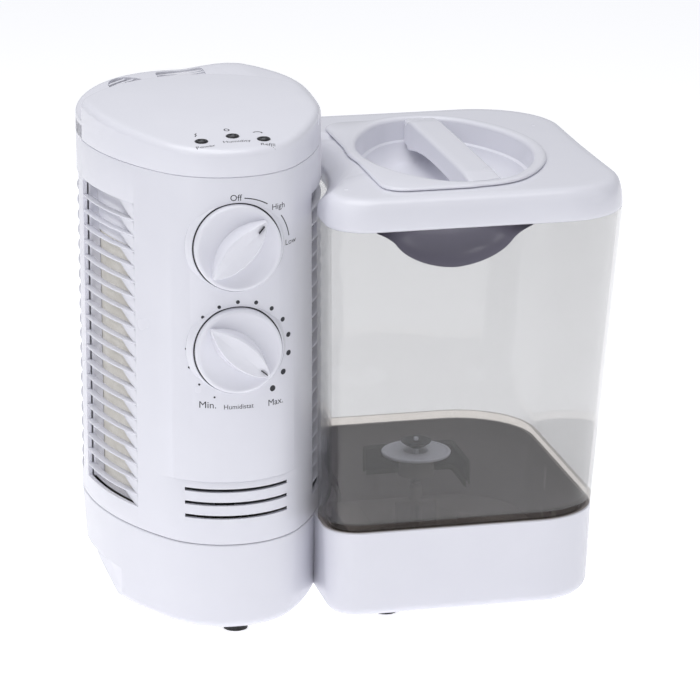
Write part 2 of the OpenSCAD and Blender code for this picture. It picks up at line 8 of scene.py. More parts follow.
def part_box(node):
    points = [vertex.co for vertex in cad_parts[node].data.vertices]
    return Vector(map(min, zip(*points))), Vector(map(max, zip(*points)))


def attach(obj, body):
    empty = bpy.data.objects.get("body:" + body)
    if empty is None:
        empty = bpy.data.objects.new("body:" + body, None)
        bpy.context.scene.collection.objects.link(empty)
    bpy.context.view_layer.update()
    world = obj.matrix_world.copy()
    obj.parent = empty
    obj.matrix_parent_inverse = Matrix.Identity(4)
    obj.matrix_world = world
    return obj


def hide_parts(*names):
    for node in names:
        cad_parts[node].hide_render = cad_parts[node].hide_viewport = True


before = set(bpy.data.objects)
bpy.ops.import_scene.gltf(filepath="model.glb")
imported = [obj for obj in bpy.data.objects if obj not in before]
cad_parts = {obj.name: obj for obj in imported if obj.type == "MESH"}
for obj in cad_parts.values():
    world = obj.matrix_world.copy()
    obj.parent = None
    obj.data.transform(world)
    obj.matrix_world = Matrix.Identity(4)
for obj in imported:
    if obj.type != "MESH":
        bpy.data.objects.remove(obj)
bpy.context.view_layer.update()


# Base tray. One white ABS moulding with two lobes, an oval one under the fan tower and a
# square one under the tank. Its sides are drafted, its bottom edge is rounded, and each lobe is an open well.
# The lower left rear corner is stepped up, where the mains lead leaves.
MM = 0.001


def box_mm(node):
    low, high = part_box(node)
    return low / MM, high / MM


tray_low, tray_high = box_mm("base_tray")
housing_low, housing_high = box_mm("housing_shell")
tower_x = (housing_low.x + housing_high.x) / 2
tower_width = (housing_high.x - housing_low.x) / 2
tower_depth = {-1: 128.0, 1: 88.0}
tower_end = {-1: 50.0, 1: 62.0}
tower_y = housing_high.y - tower_depth[1]


def oval_half(width, depth, end_r):
    """One half of a four-arc oval: the side arc's offset, the end arc's reach, both radii, and the normal's angle
    where they meet."""
    reach, slack = depth - end_r, width - end_r
    offset = (reach * reach - slack * slack) / (2 * slack)
    return offset, reach, width + offset, end_r, math.atan2(reach, offset)


def oval_quarter(half, grow, count):
    """Evenly spaced points of a quarter, from its widest point to its tip."""
    offset, reach, side_r, end_r, meet = half
    side_r, end_r = side_r + grow, end_r + grow
    side_length = side_r * meet
    whole = side_length + end_r * (math.pi / 2 - meet)
    points = []
    for i in range(count + 1):
        s = whole * i / count
        if s < side_length:
            a = s / side_r
            points.append((side_r * math.cos(a) - offset, side_r * math.sin(a)))
        else:
            a = meet + (s - side_length) / end_r
            points.append((end_r * math.cos(a), reach + end_r * math.sin(a)))
    return points


class Oval:
    """An egg-shaped plan: it knows its outline, and how far a point lies outside it."""

    def __init__(self, x, y, width, depth, end_r):
        self.x, self.y = x, y
        self.halves = {s: oval_half(width, depth[s], end_r[s]) for s in (-1, 1)}

    def outline(self, grow=0.0, count=320):
        quarter = count // 4
        back, front = (oval_quarter(self.halves[s], grow, quarter) for s in (1, -1))
        points = back[:-1] + [(-x, y) for x, y in back[:0:-1]]
        points += [(-x, -y) for x, y in front[:-1]] + [(x, -y) for x, y in front[:0:-1]]
        return [(self.x + x, self.y + y) for x, y in points]

    def beyond(self, x, y):
        offset, reach, side_r, end_r, meet = self.halves[1 if y > self.y else -1]
        x, y = abs(x - self.x), abs(y - self.y)
        if math.atan2(y, x + offset) < meet:
            return math.hypot(x + offset, y) - side_r
        return math.hypot(x, y - reach) - end_r


tower = Oval(tower_x, tower_y, tower_width, tower_depth, tower_end)

tank_low, tank_high = box_mm("tank_shell")
lid_high = box_mm("tank_lid")[1]
bottom_low = box_mm("tank_bottom")[0]
RIM_Z, LID_Z = tank_low.z, tank_high.z
TOWER_GAP = 4.0
# sides left, right, front and back, then the corner radii front left, front right, back right, back left
TANK_AT_RIM = (-30.0, 147.0, -101.0, 119.5, 22.0, 42.0, 52.0, 20.0)
TANK_AT_LID = (-30.0, tank_high.x, tank_low.y, tank_high.y, 25.0, 46.0, 56.0, 22.0)


def resampled(points, count):
    """The closed line through points, again at count even steps from its first point."""
    line = points + points[:1]
    runs = [math.dist(a, b) for a, b in zip(line, line[1:])]
    step, out, at, done = sum(runs) / count, [], 0, 0.0
    for i in range(count):
        want = i * step
        while at < len(runs) - 1 and done + runs[at] < want:
            done += runs[at]
            at += 1
        t = (want - done) / runs[at] if runs[at] else 0.0
        a, b = line[at], line[at + 1]
        out.append((a[0] + (b[0] - a[0]) * t, a[1] + (b[1] - a[1]) * t))
    return out


def softened(points, reach):
    """A closed line averaged over reach neighbours each way, which rounds its corners."""
    n = len(points)
    span = range(-reach, reach + 1)
    return [tuple(sum(points[(i + j) % n][k] for j in span) / len(span) for k in (0, 1)) for i in range(n)]


def tank_plan(z, inset=0.0, count=288, gap=TOWER_GAP):
    """The tank's outline at height z: a rounded square that leans out upwards, hollowed to pass round the tower."""
    t = (z - RIM_Z) / (LID_Z - RIM_Z)
    left, right, front, back, fl, fr, br, bl = (a + (b - a) * t for a, b in zip(TANK_AT_RIM, TANK_AT_LID))
    square = [(left + inset, (front + back) / 2)]
    for x, y, r, start in ((left + fl, front + fl, fl, 180), (right - fr, front + fr, fr, 270),
                           (right - br, back - br, br, 0), (left + bl, back - bl, bl, 90)):
        for k in range(19):
            a = math.radians(start + 5 * k)
            square.append((x + (r - inset) * math.cos(a), y + (r - inset) * math.sin(a)))
    kept = [p for p in resampled(square, 900) if tower.beyond(*p) > gap + inset]
    hollow = [p for p in tower.outline(gap + inset, 800)
              if p[0] > tower_x and kept[0][1] < p[1] < kept[-1][1]]
    hollow.sort(key=lambda p: -p[1])
    return resampled(softened(resampled(kept + hollow, 1200), 4), count)


def ring_at(bm, points, z):
    verts = bmesh.ops.create_circle(bm, segments=len(points), radius=1.0)["verts"]
    heights = z if hasattr(z, "__len__") else [z] * len(points)
    for v, p, h in zip(verts, points, heights):
        v.co = (p[0], p[1], h)
    return verts


def stacked(levels, closed=False, bm=None):
    """Skins a row of loops, each a list of points and a height or heights, by extruding the first one up through
    them. A closed skin comes back to its first loop, which makes a wall with thickness."""
    bm = bm or bmesh.new()
    ring = first = ring_at(bm, *levels[0])
    for points, z in levels[1:]:
        heights = z if hasattr(z, "__len__") else [z] * len(points)
        edges = [bm.edges.get((a, b)) for a, b in zip(ring, ring[1:] + ring[:1])]
        grown = bmesh.ops.extrude_edge_only(bm, edges=edges)["geom"]
        number = {tuple(v.co): i for i, v in enumerate(ring)}
        following = [None] * len(ring)
        for v in grown:
            if isinstance(v, bmesh.types.BMVert):
                following[number[tuple(v.co)]] = v
        for v, p, h in zip(following, points, heights):
            v.co = (p[0], p[1], h)
        ring = following
    if closed:
        loops = [bm.edges.get((a, b)) for r in (first, ring) for a, b in zip(r, r[1:] + r[:1])]
        bmesh.ops.bridge_loops(bm, edges=loops)
    else:
        bmesh.ops.holes_fill(bm, edges=[e for e in bm.edges if e.is_boundary], sides=0)
    bmesh.ops.recalc_face_normals(bm, faces=bm.faces)
    return bm


def block(bm, low, high):
    """A box between two corners."""
    verts = bmesh.ops.create_cube(bm, size=1.0)["verts"]
    size, middle = Vector(high) - Vector(low), (Vector(high) + Vector(low)) / 2
    bmesh.ops.scale(bm, verts=verts, vec=size)
    bmesh.ops.translate(bm, verts=verts, vec=middle)
    return verts


def rod(bm, start, end, r_start, r_end=None, segments=48):
    """A round bar or cone between two points."""
    start, end = Vector(start), Vector(end)
    along = end - start
    verts = bmesh.ops.create_cone(bm, cap_ends=True, segments=segments, radius1=r_start,
                                  radius2=r_start if r_end is None else r_end, depth=along.length)["verts"]
    turn = Vector((0, 0, 1)).rotation_difference(along).to_matrix()
    bmesh.ops.rotate(bm, verts=verts, matrix=turn)
    bmesh.ops.translate(bm, verts=verts, vec=(start + end) / 2)
    return verts


def joined(bm, other, operation):
    """bm with the closed shape other added to it, or cut out of it."""
    holders = []
    for part in (bm, other):
        mesh = bpy.data.meshes.new("working")
        part.to_mesh(mesh)
        part.free()
        holder = bpy.data.objects.new("working", mesh)
        bpy.context.scene.collection.objects.link(holder)
        holders.append(holder)
    change = holders[0].modifiers.new("join", "BOOLEAN")
    change.object, change.operation, change.solver = holders[1], operation, "EXACT"
    result = bmesh.new()
    result.from_object(holders[0], bpy.context.evaluated_depsgraph_get())
    for holder in holders:
        mesh = holder.data
        bpy.data.objects.remove(holder)
        bpy.data.meshes.remove(mesh)
    return result


def linear(hex_colour):
    """An sRGB hex colour as the linear numbers that a shader takes."""
    channels = [int(hex_colour[i:i + 2], 16) / 255 for i in (1, 3, 5)]
    return [c / 12.92 if c <= 0.04045 else ((c + 0.055) / 1.055) ** 2.4 for c in channels] + [1.0]


def add_node(tree, kind, inputs=None, **settings):
    """Adds a node, sets it up, and joins each input to a socket or gives it a value."""
    node = tree.nodes.new(kind)
    for name, value in settings.items():
        setattr(node, name, value)
    for name, value in (inputs or {}).items():
        if isinstance(value, bpy.types.NodeSocket):
            tree.links.new(value, node.inputs[name])
        else:
            node.inputs[name].default_value = value
    return node


def new_material(name):
    material = bpy.data.materials.new(name)
    material.use_nodes = True
    material.node_tree.nodes.clear()
    return material, material.node_tree


def moulded(name, light, dark, rough, grain, relief, ior=1.53, cloud=45.0):
    """Injection-moulded plastic: a faint flow mottle some cloud mm wide in its colour and gloss, and the tool's
    fine grain, grain mm wide and relief mm deep."""
    material, tree = new_material(name)
    place = add_node(tree, "ShaderNodeTexCoord").outputs["Object"]
    flow = add_node(tree, "ShaderNodeTexNoise", {"Vector": place, "Scale": 1 / (cloud * MM), "Detail": 3.0})
    tint = add_node(tree, "ShaderNodeMix", {"Factor": flow.outputs["Fac"], "A": linear(light), "B": linear(dark)},
                    data_type="RGBA")
    gloss = add_node(tree, "ShaderNodeMapRange", {"Value": flow.outputs["Fac"], "To Min": rough * 0.85,
                                                  "To Max": rough * 1.15})
    tool = add_node(tree, "ShaderNodeTexNoise", {"Vector": place, "Scale": 1 / (grain * MM), "Detail": 2.0})
    skin = add_node(tree, "ShaderNodeBump", {"Height": tool.outputs["Fac"], "Strength": 0.5,
                                             "Distance": relief * MM})
    body = add_node(tree, "ShaderNodeBsdfPrincipled", {
        "Base Color": tint.outputs["Result"], "Roughness": gloss.outputs["Result"], "Normal": skin.outputs["Normal"],
        "IOR": ior})
    add_node(tree, "ShaderNodeOutputMaterial", {"Surface": body.outputs["BSDF"]})
    return material


# glossy white ABS with a slightly blue cast, polished tool: soft broad highlights, no visible grain
white_abs = moulded("white_abs_gloss", "#E9E9F0", "#E2E2EA", 0.26, 0.9, 0.010)


def piece(name, bm, material, body, nodes=(), crease=32.0, bevel=0.0, steps=2):
    """Turns a shape in mm into a finished piece that rides on a body and stands for CAD nodes.
    Edges sharper than crease degrees stay crisp, or are rounded by bevel mm."""
    bmesh.ops.scale(bm, verts=bm.verts, vec=(MM, MM, MM))
    for face in bm.faces:
        face.smooth = True
    for edge in bm.edges:
        edge.smooth = not (len(edge.link_faces) == 2 and edge.calc_face_angle(0.0) > math.radians(crease))
    mesh = bpy.data.meshes.new(name)
    bm.to_mesh(mesh)
    bm.free()
    mesh.materials.append(material)
    made = bpy.data.objects.new(name, mesh)
    bpy.context.scene.collection.objects.link(made)
    if bevel:
        edge_round = made.modifiers.new("edge_round", "BEVEL")
        edge_round.width, edge_round.segments = bevel * MM, steps
        edge_round.limit_method, edge_round.angle_limit = "ANGLE", math.radians(crease)
        edge_round.harden_normals = True
    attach(made, body)
    if nodes:
        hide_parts(*nodes)
    return made


TRAY_TOP = tray_high.z
TRAY_BOTTOM = tray_low.z
TRAY_DRAFT = 3.4
FLOOR_Z = TRAY_BOTTOM + 3.0
BOTTOM_ROUND = 7.0
TRAY_WALL = 2.6


def tray_levels(plan, draft):
    """Heights and insets of a tray lobe's side, with its rounded bottom edge and its small top edge."""
    levels = []
    for k in range(7):
        a = math.radians(15 * k)
        inset = draft * 0.95 + BOTTOM_ROUND * (1 - math.sin(a))
        levels.append((plan(-inset), TRAY_BOTTOM + BOTTOM_ROUND * (1 - math.cos(a))))
    levels += [(plan(-draft * (1 - (z - TRAY_BOTTOM) / (TRAY_TOP - TRAY_BOTTOM))), z)
               for z in (24.0, 41.0, TRAY_TOP - 0.7)]
    levels.append((plan(-0.5), TRAY_TOP))
    return levels



def tank_lobe(grow):
    return tank_plan(TRAY_TOP, -grow, gap=-9.0)


tray = joined(stacked(tray_levels(tower.outline, TRAY_DRAFT)), stacked(tray_levels(tank_lobe, 2.4)), "UNION")
# the stepped corner: outside it is cut away, and inside the well stands clear of it by a wall
corner = bmesh.new()
block(corner, (-180, -40, -5), (-149, 120, 26))
tray = joined(tray, corner, "DIFFERENCE")
tower_well = stacked([(tower.outline(-TRAY_DRAFT - TRAY_WALL), z) for z in (FLOOR_Z, TRAY_TOP + 2)])
corner = bmesh.new()
block(corner, (-180, -43, -5), (-146, 125, 29))
tray = joined(tray, joined(tower_well, corner, "DIFFERENCE"), "DIFFERENCE")
tank_well = stacked([(tank_plan(z, TRAY_WALL + (1.0 if z < 30 else 0.0), gap=0.5), z)
                     for z in (FLOOR_Z, TRAY_TOP + 2)])
tray = joined(tray, tank_well, "DIFFERENCE")
passage = bmesh.new()
block(passage, (-30, 0, FLOOR_Z), (-4, 44, 28))
tray = joined(tray, passage, "DIFFERENCE")
piece("base_tray_shell", tray, white_abs, "base", ["base_tray"])

# what stands on the floor of the wells: the post that opens the tank's valve on its cross of ribs, an L-shaped
# step block, a curved rib with a rounded top, and the float's guide post
valve_x, valve_y = 56.0, 28.0
fittings = bmesh.new()
rod(fittings, (valve_x, valve_y, FLOOR_Z - 0.5), (valve_x, valve_y, 43.9), 4.0)
for across in ((14, 1.2), (1.2, 14)):
    block(fittings, (valve_x - across[0], valve_y - across[1], FLOOR_Z - 0.5),
          (valve_x + across[0], valve_y + across[1], 34))
block(fittings, (-4, -60, FLOOR_Z - 0.5), (30, -36, 34))
block(fittings, (-4, -37, FLOOR_Z - 0.5), (14, 12, 40))
rod(fittings, (tower_x, -72, FLOOR_Z - 0.5), (tower_x, -72, 40), 1.9)
for x in (-46, 46):
    block(fittings, (tower_x + x - 2, 0, FLOOR_Z - 0.5), (tower_x + x + 2, 60, 12))
piece("base_tray_fittings", fittings, white_abs, "base", bevel=1.6, steps=3)

RIB_CENTRE, RIB_R, RIB_HALF = (52.0, -52.0), 68.0, 6.0
rib_section = [(RIB_R - RIB_HALF, FLOOR_Z - 0.5)]
rib_section += [(RIB_R - RIB_HALF * math.cos(math.radians(a)), 24 + RIB_HALF * math.sin(math.radians(a)))
                for a in range(0, 181, 20)]
rib_section += [(RIB_R + RIB_HALF, FLOOR_Z - 0.5)]
rib = bmesh.new()
section = ring_at(rib, rib_section, 0.0)
for v in section:
    v.co = (RIB_CENTRE[0] + v.co.x, RIB_CENTRE[1], v.co.y)
bmesh.ops.rotate(rib, verts=rib.verts, cent=(*RIB_CENTRE, 0), matrix=Matrix.Rotation(math.radians(12), 3, "Z"))
bmesh.ops.spin(rib, geom=rib.edges[:], cent=(*RIB_CENTRE, 0), axis=(0, 0, 1), angle=math.radians(54), steps=24)
bmesh.ops.holes_fill(rib, edges=[e for e in rib.edges if e.is_boundary], sides=0)
bmesh.ops.recalc_face_normals(rib, faces=rib.faces)
piece("base_tray_rib", rib, white_abs, "base", crease=50, bevel=1.2)


# Rubber feet. Seven black moulded pads pressed into the underside of the tray.
# Matt, dusty black with a soft edge.
black_rubber = moulded("black_rubber_moulded", "#1A1A1C", "#232325", 0.62, 0.5, 0.03, ior=1.52, cloud=8.0)
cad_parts["rubber_feet"].data.materials.clear()
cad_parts["rubber_feet"].data.materials.append(black_rubber)


def finished(material, *nodes):
    """Gives CAD nodes that stay as they are their finish."""
    for name in nodes:
        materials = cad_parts[name].data.materials
        materials.clear()
        materials.append(material)


# Float and its magnet. A closed-cell foam ring that rides up its post as the base fills, with a plated ring
# magnet let into its top.
float_foam = moulded("float_foam_closed_cell", "#E2E0D2", "#D2CFC0", 0.75, 0.8, 0.12, ior=1.45, cloud=6.0)
finished(float_foam, "float")
plated_steel, tree = new_material("steel_zinc_plated")
place = add_node(tree, "ShaderNodeTexCoord").outputs["Object"]
spangle = add_node(tree, "ShaderNodeTexVoronoi", {"Vector": place, "Scale": 1 / (2.5 * MM)})
tint = add_node(tree, "ShaderNodeMix", {"Factor": spangle.outputs["Distance"], "A": linear("#C9CBD0"),
                                        "B": linear("#AEB1B8")}, data_type="RGBA")
dull = add_node(tree, "ShaderNodeMapRange", {"Value": spangle.outputs["Distance"], "To Min": 0.28, "To Max": 0.42})
metal = add_node(tree, "ShaderNodeBsdfPrincipled", {"Base Color": tint.outputs["Result"], "Metallic": 1.0,
                                                    "Roughness": dull.outputs["Result"]})
add_node(tree, "ShaderNodeOutputMaterial", {"Surface": metal.outputs["BSDF"]})
finished(plated_steel, "float_magnet")


# Wick. Stiff beige paper, pleated all round an oval cage and glued into it top and bottom.
# It is matt and slightly mottled, and the pleats' valleys are dark.
WICK_R, WICK_BEND, WICK_T = 56.0, 14.0, 18.0
wick_low, wick_high = box_mm("wick_filter")
fan_x, fan_y = (wick_low.x + wick_high.x) / 2, (wick_low.y + wick_high.y) / 2


def racetrack(r, count):
    """A circle of radius r pulled out along Y, evenly stepped."""
    points = []
    for s in (1, -1):
        for k in range(25):
            a = math.radians(180 * k / 24) + (0 if s > 0 else math.pi)
            points.append((fan_x + r * math.cos(a), fan_y + s * WICK_BEND + r * math.sin(a)))
    return resampled(points, count)


PLEATS = 76
outside, inside = racetrack(WICK_R - 0.05, 4 * PLEATS), racetrack(WICK_R - WICK_T + 0.05, 4 * PLEATS)


def between(a, b, t):
    return tuple(p + (q - p) * t for p, q in zip(a, b))


fold_out = [between(o, i, (0.0, 0.10, 0.26, 0.10)[k % 4]) for k, (o, i) in enumerate(zip(outside, inside))]
fold_in = [between(o, i, (0.74, 0.84, 1.0, 0.84)[k % 4]) for k, (o, i) in enumerate(zip(outside, inside))]
wick = stacked([(fold_out, wick_low.z), (fold_out, wick_high.z), (fold_in, wick_high.z),
                (fold_in, wick_low.z)], closed=True)
wick_paper, tree = new_material("wick_paper_pleated")
place = add_node(tree, "ShaderNodeTexCoord").outputs["Object"]
fibre = add_node(tree, "ShaderNodeTexNoise", {"Vector": place, "Scale": 1 / (3.0 * MM), "Detail": 6.0})
pulp = add_node(tree, "ShaderNodeMix", {"Factor": fibre.outputs["Fac"], "A": linear("#D8CFC2"),
                                        "B": linear("#B9AE9F")}, data_type="RGBA")
fuzz = add_node(tree, "ShaderNodeBump", {"Height": fibre.outputs["Fac"], "Strength": 0.6, "Distance": 0.3 * MM})
paper = add_node(tree, "ShaderNodeBsdfPrincipled", {"Base Color": pulp.outputs["Result"], "Roughness": 0.9,
                                                    "Normal": fuzz.outputs["Normal"]})
add_node(tree, "ShaderNodeOutputMaterial", {"Surface": paper.outputs["BSDF"]})
piece("wick_filter_pleats", wick, wick_paper, "wick", ["wick_filter"], crease=20)
inner_abs = moulded("white_abs_satin", "#D6D6DA", "#CDCDD2", 0.45, 0.6, 0.03)
finished(inner_abs, "wick_frame")


# Tower housing. One tall white ABS moulding with a thin wall: tall windows in both sides, a round well for each
# knob, three air slits low on the front, a hole for the lead at the back, and a faint step line above the slits.
WALL = 2.6
HOUSING_BOTTOM, HOUSING_TOP = housing_low.z, housing_high.z
STEP_Z = 99.5
knob_low, knob_high = box_mm("speed_knob")
KNOB_R = (knob_high.x - knob_low.x) / 2
KNOB_BACK, KNOB_FRONT = knob_high.y, knob_low.y
speed_z = (knob_high.z + knob_low.z) / 2
humid_low, humid_high = box_mm("humidistat_knob")
humid_z = (humid_high.z + humid_low.z) / 2
WELL_R = KNOB_R + 0.9
SEAT_Y = KNOB_BACK + 0.3


def housing_face(inset, z):
    """The housing's outline at height z, where the step line runs round the front."""
    points = tower.outline(inset)
    if abs(z - STEP_Z) > 0.2:
        return points
    moved = []
    for x, y in points:
        fade = max(0.0, min(1.0, (46 - abs(x - tower_x)) / 14)) if y < -40 else 0.0
        moved.append((x, y + 0.55 * fade))
    return moved


outer = [(HOUSING_BOTTOM, -0.7), (HOUSING_BOTTOM + 0.25, -0.2), (HOUSING_BOTTOM + 0.8, 0.0), (STEP_Z - 0.9, 0.0),
         (STEP_Z, 0.0), (STEP_Z + 0.35, 0.0), (HOUSING_TOP - 0.9, 0.0), (HOUSING_TOP - 0.35, -0.2),
         (HOUSING_TOP - 0.05, -0.8)]
shell_levels = [(housing_face(g, z), z) for z, g in outer]
shell_levels += [(tower.outline(-WALL), z) for z in (HOUSING_TOP - 0.05, HOUSING_BOTTOM)]
housing = stacked(shell_levels, closed=True)
WINDOWS = ((-60.0, 10.0), (24.0, 84.0))
WINDOW_Z = (73.0, 266.0)
SLITS = (77.0, 85.5, 94.0)
openings = bmesh.new()
for front_y, back_y in WINDOWS:
    for side in (-1, 1):
        xs = sorted((tower_x + side * 30, tower_x + side * 90))
        block(openings, (xs[0], front_y, WINDOW_Z[0]), (xs[1], back_y, WINDOW_Z[1]))
for z in SLITS:
    block(openings, (tower_x - 31.7, -120, z - 1.15), (tower_x + 31.7, -84, z + 1.15))
for z in (speed_z, humid_z):
    rod(openings, (tower_x, -120, z), (tower_x, -90, z), WELL_R, segments=128)
rod(openings, (tower_x, 100, 76), (tower_x, 120, 76), 5.5)
housing = joined(housing, openings, "DIFFERENCE")
piece("housing_wall", housing, white_abs, "housing", ["housing_shell"], bevel=0.35)


def turned_y(bm, x, z, profile, steps=128):
    """Spins a profile of (radius, y) about the axis along Y through x and z."""
    verts = [bm.verts.new((x + r, y, z)) for r, y in profile]
    edges = [bm.edges.new(pair) for pair in zip(verts, verts[1:])]
    bmesh.ops.spin(bm, geom=verts + edges, cent=(x, 0, z), axis=(0, 1, 0), angle=math.tau, steps=steps,
                   use_merge=True)
    bmesh.ops.remove_doubles(bm, verts=bm.verts, dist=0.001)
    return bm


# the seats behind the knobs: flat floors with a raised round lip that runs out into the curved wall
seats = bmesh.new()
for z in (speed_z, humid_z):
    turned_y(seats, tower_x, z, [(3.4, SEAT_Y + 1.6), (3.4, SEAT_Y), (WELL_R - 0.1, SEAT_Y),
                                 (WELL_R - 0.1, SEAT_Y - 0.4), (WELL_R + 0.15, SEAT_Y - 0.75),
                                 (WELL_R + 0.6, SEAT_Y - 0.7), (WELL_R + 1.0, SEAT_Y - 0.2),
                                 (WELL_R + 1.5, SEAT_Y + 2.6), (WELL_R + 3.2, SEAT_Y + 5.6),
                                 (WELL_R + 3.0, SEAT_Y + 7.4), (WELL_R - 1.0, SEAT_Y + 1.6), (3.4, SEAT_Y + 1.6)])
bmesh.ops.recalc_face_normals(seats, faces=seats.faces)
piece("housing_knob_seats", seats, white_abs, "housing")


# Side grilles. White ABS inserts behind the windows: thin fins that follow the tower's oval, a ramp under each
# fin at the front end that runs in from the window's edge, and an upright at each end of a window.
FIN_Z = [80.0 + 9.7 * i for i in range(19)]
FIN_DEPTH, FIN_T, FIN_FACE = 4.6, 1.1, 0.12
pad_low, pad_high = box_mm("pad_left")
PAD_FRONT, PAD_TOP = pad_low.y, pad_high.z


def side_run(side, y0, y1, inset, count):
    """Points along one side of the oval, from y0 to y1, inset from its face."""
    fine = sorted((p for p in tower.outline(-inset, 1600) if side * (p[0] - tower_x) > 0), key=lambda p: p[1])
    run, at = [], 0
    for k in range(count + 1):
        y = y0 + (y1 - y0) * k / count
        while fine[at + 1][1] < y:
            at += 1
        run.append(between(fine[at], fine[at + 1], (y - fine[at][1]) / (fine[at + 1][1] - fine[at][1])))
    return run


def draped(bm, rows, thick=0.0):
    """A sheet through rows of points in space, made from a grid and thickened."""
    wide = len(rows[0])
    verts = bmesh.ops.create_grid(bm, x_segments=wide - 1, y_segments=len(rows) - 1, size=1.0)["verts"]
    verts.sort(key=lambda v: (round(v.co.y, 4), v.co.x))
    for i, v in enumerate(verts):
        v.co = rows[i // wide][i % wide]
    faces = list({f for v in verts for f in v.link_faces})
    if thick:
        bmesh.ops.solidify(bm, geom=faces, thickness=thick)
    return verts


def louvre(side):
    bm = bmesh.new()
    for y0, y1 in WINDOWS:
        start, stop = y0 + 0.4, y1 - 0.4
        inner = side_run(side, start, stop, FIN_DEPTH, 26)[::-1]
        face = side_run(side, start, stop, FIN_FACE, 26) + inner
        lip = side_run(side, start, stop, FIN_FACE + 0.4, 26) + inner
        for z in FIN_Z:
            stacked([(lip, z), (face, z + 0.3), (face, z + FIN_T - 0.3), (lip, z + FIN_T)], bm=bm)
        ramp = 27.0 if y0 < 0 else 9.0
        for z0, z1 in zip([WINDOW_Z[0] + 0.3] + [z + FIN_T for z in FIN_Z], FIN_Z + [WINDOW_Z[1] - 0.3]):
            rows = []
            for j in range(5):
                reach = 1.6 + (ramp - 1.6) * j / 4
                rows.append([(*side_run(side, start + reach * k / 8, stop, 0.5 + 5.2 * reach * k / 8 / ramp, 1)[0],
                              z0 + (z1 - z0) * j / 4) for k in range(9)])
            draped(bm, rows, 0.7)
        for end in (start, stop - 3.2):
            post = side_run(side, end, end + 3.2, 3.4, 3) + side_run(side, end, end + 3.2, 9.4, 3)[::-1]
            stacked([(post, z) for z in (WINDOW_Z[0] + 0.35, WINDOW_Z[1] - 0.35)], bm=bm)
        # blank walls close the window where no pad stands behind it
        blanks = [(start + 3.3, stop - 3.3, PAD_TOP + 0.6, WINDOW_Z[1] - 0.4)]
        if y0 < 0:
            blanks.append((start + 3.3, PAD_FRONT - 0.4, WINDOW_Z[0] + 0.4, PAD_TOP + 0.5))
        for a, b, z0, z1 in blanks:
            wall = side_run(side, a, b, 8.5, 12) + side_run(side, a, b, 9.3, 12)[::-1]
            stacked([(wall, z) for z in (z0, z1)], bm=bm)
        sill = (side_run(side, start + 3.3, stop - 3.3, 4.2, 12)
                + side_run(side, start + 3.3, stop - 3.3, 9.3, 12)[::-1])
        stacked([(sill, z) for z in (WINDOW_Z[0] + 0.35, WINDOW_Z[0] + 0.95)], bm=bm)
    bmesh.ops.recalc_face_normals(bm, faces=bm.faces)
    return bm


piece("louvre_left_fins", louvre(-1), white_abs, "housing", ["louvre_left"], crease=40)
piece("louvre_right_fins", louvre(1), white_abs, "housing", ["louvre_right"], crease=40)


# Dust pads. Off-white pressed-fibre pads behind the fins, held against the grilles' uprights; the wick stands
# behind them. Loose fibres give them a matt, slightly uneven face.
pad_fibre, tree = new_material("pad_pressed_fibre")
place = add_node(tree, "ShaderNodeTexCoord").outputs["Object"]
fibres = add_node(tree, "ShaderNodeTexNoise", {"Vector": place, "Scale": 1 / (1.2 * MM), "Detail": 6.0,
                                               "Roughness": 0.7})
stains = add_node(tree, "ShaderNodeTexNoise", {"Vector": place, "Scale": 1 / (18.0 * MM), "Detail": 2.0})
mottle = add_node(tree, "ShaderNodeMath", {0: fibres.outputs["Fac"], 1: stains.outputs["Fac"]}, operation="MULTIPLY")
spread = add_node(tree, "ShaderNodeMapRange", {"Value": mottle.outputs[0], "From Min": 0.12, "From Max": 0.42})
tint = add_node(tree, "ShaderNodeMix", {"Factor": spread.outputs["Result"], "A": linear("#D9D5CB"),
                                        "B": linear("#ECE9E1")}, data_type="RGBA")
fuzz = add_node(tree, "ShaderNodeBump", {"Height": fibres.outputs["Fac"], "Strength": 0.6, "Distance": 0.3 * MM})
felt = add_node(tree, "ShaderNodeBsdfPrincipled", {"Base Color": tint.outputs["Result"], "Roughness": 0.95,
                                                   "Normal": fuzz.outputs["Normal"]})
add_node(tree, "ShaderNodeOutputMaterial", {"Surface": felt.outputs["BSDF"]})
finished(pad_fibre, "pad_left", "pad_right")


# Top cover. A white ABS cap that closes the tower: a low band over the housing's seam, and a domed plate that
# rolls over the band's rounded edge. Its rear edge stands free, in a curve, above a lower deck with the outlets.
cover_low, cover_high = box_mm("top_cover")
COVER_BOTTOM, COVER_TOP = cover_low.z, cover_high.z
DOME_R, CREST_Y = 1127.0, 60.0
PLATE_Y, PLATE_R = -29.5, 85.0


def dome(x, y):
    return COVER_TOP - ((x - tower_x) ** 2 + (y - CREST_Y) ** 2) / (2 * DOME_R)


def ease(t):
    t = max(0.0, min(1.0, t))
    return t * t * (3 - 2 * t)


def rolled(depth, radius):
    """How far a rounded edge of that radius has fallen, at a depth inside it."""
    return 0.0 if depth >= radius else radius - math.sqrt(max(0.0, radius ** 2 - (radius - depth) ** 2))


def plate_z(x, y):
    """The domed plate, rolled off towards the band: tightly at the front, and widely at the right rear."""
    wide = ease((x - tower_x - 10) / 50) * ease((y + 40) / 60)
    return dome(x, y) - rolled(max(0.0, -tower.beyond(x, y)), 4.5 + 9.0 * wide)


def plate_edge_z(x, y):
    """The same with the small round of the plate's rear edge."""
    free = PLATE_R - math.hypot(x - tower_x, y - PLATE_Y)
    return plate_z(x, y) - (rolled(max(0.0, free), 1.1) if y > 0 else 0.0)


def deck_z(x, y):
    """The rear deck: lower than the plate at the left, and level with it at the right."""
    level = 303.2 + 6.0 * ease((y - 16) / 95) - rolled(max(0.0, -tower.beyond(x, y)), 2.2)
    blend = ease((x - tower_x - 2) / 42)
    return min(level + (plate_z(x, y) - level) * blend, plate_z(x, y) - 0.02)


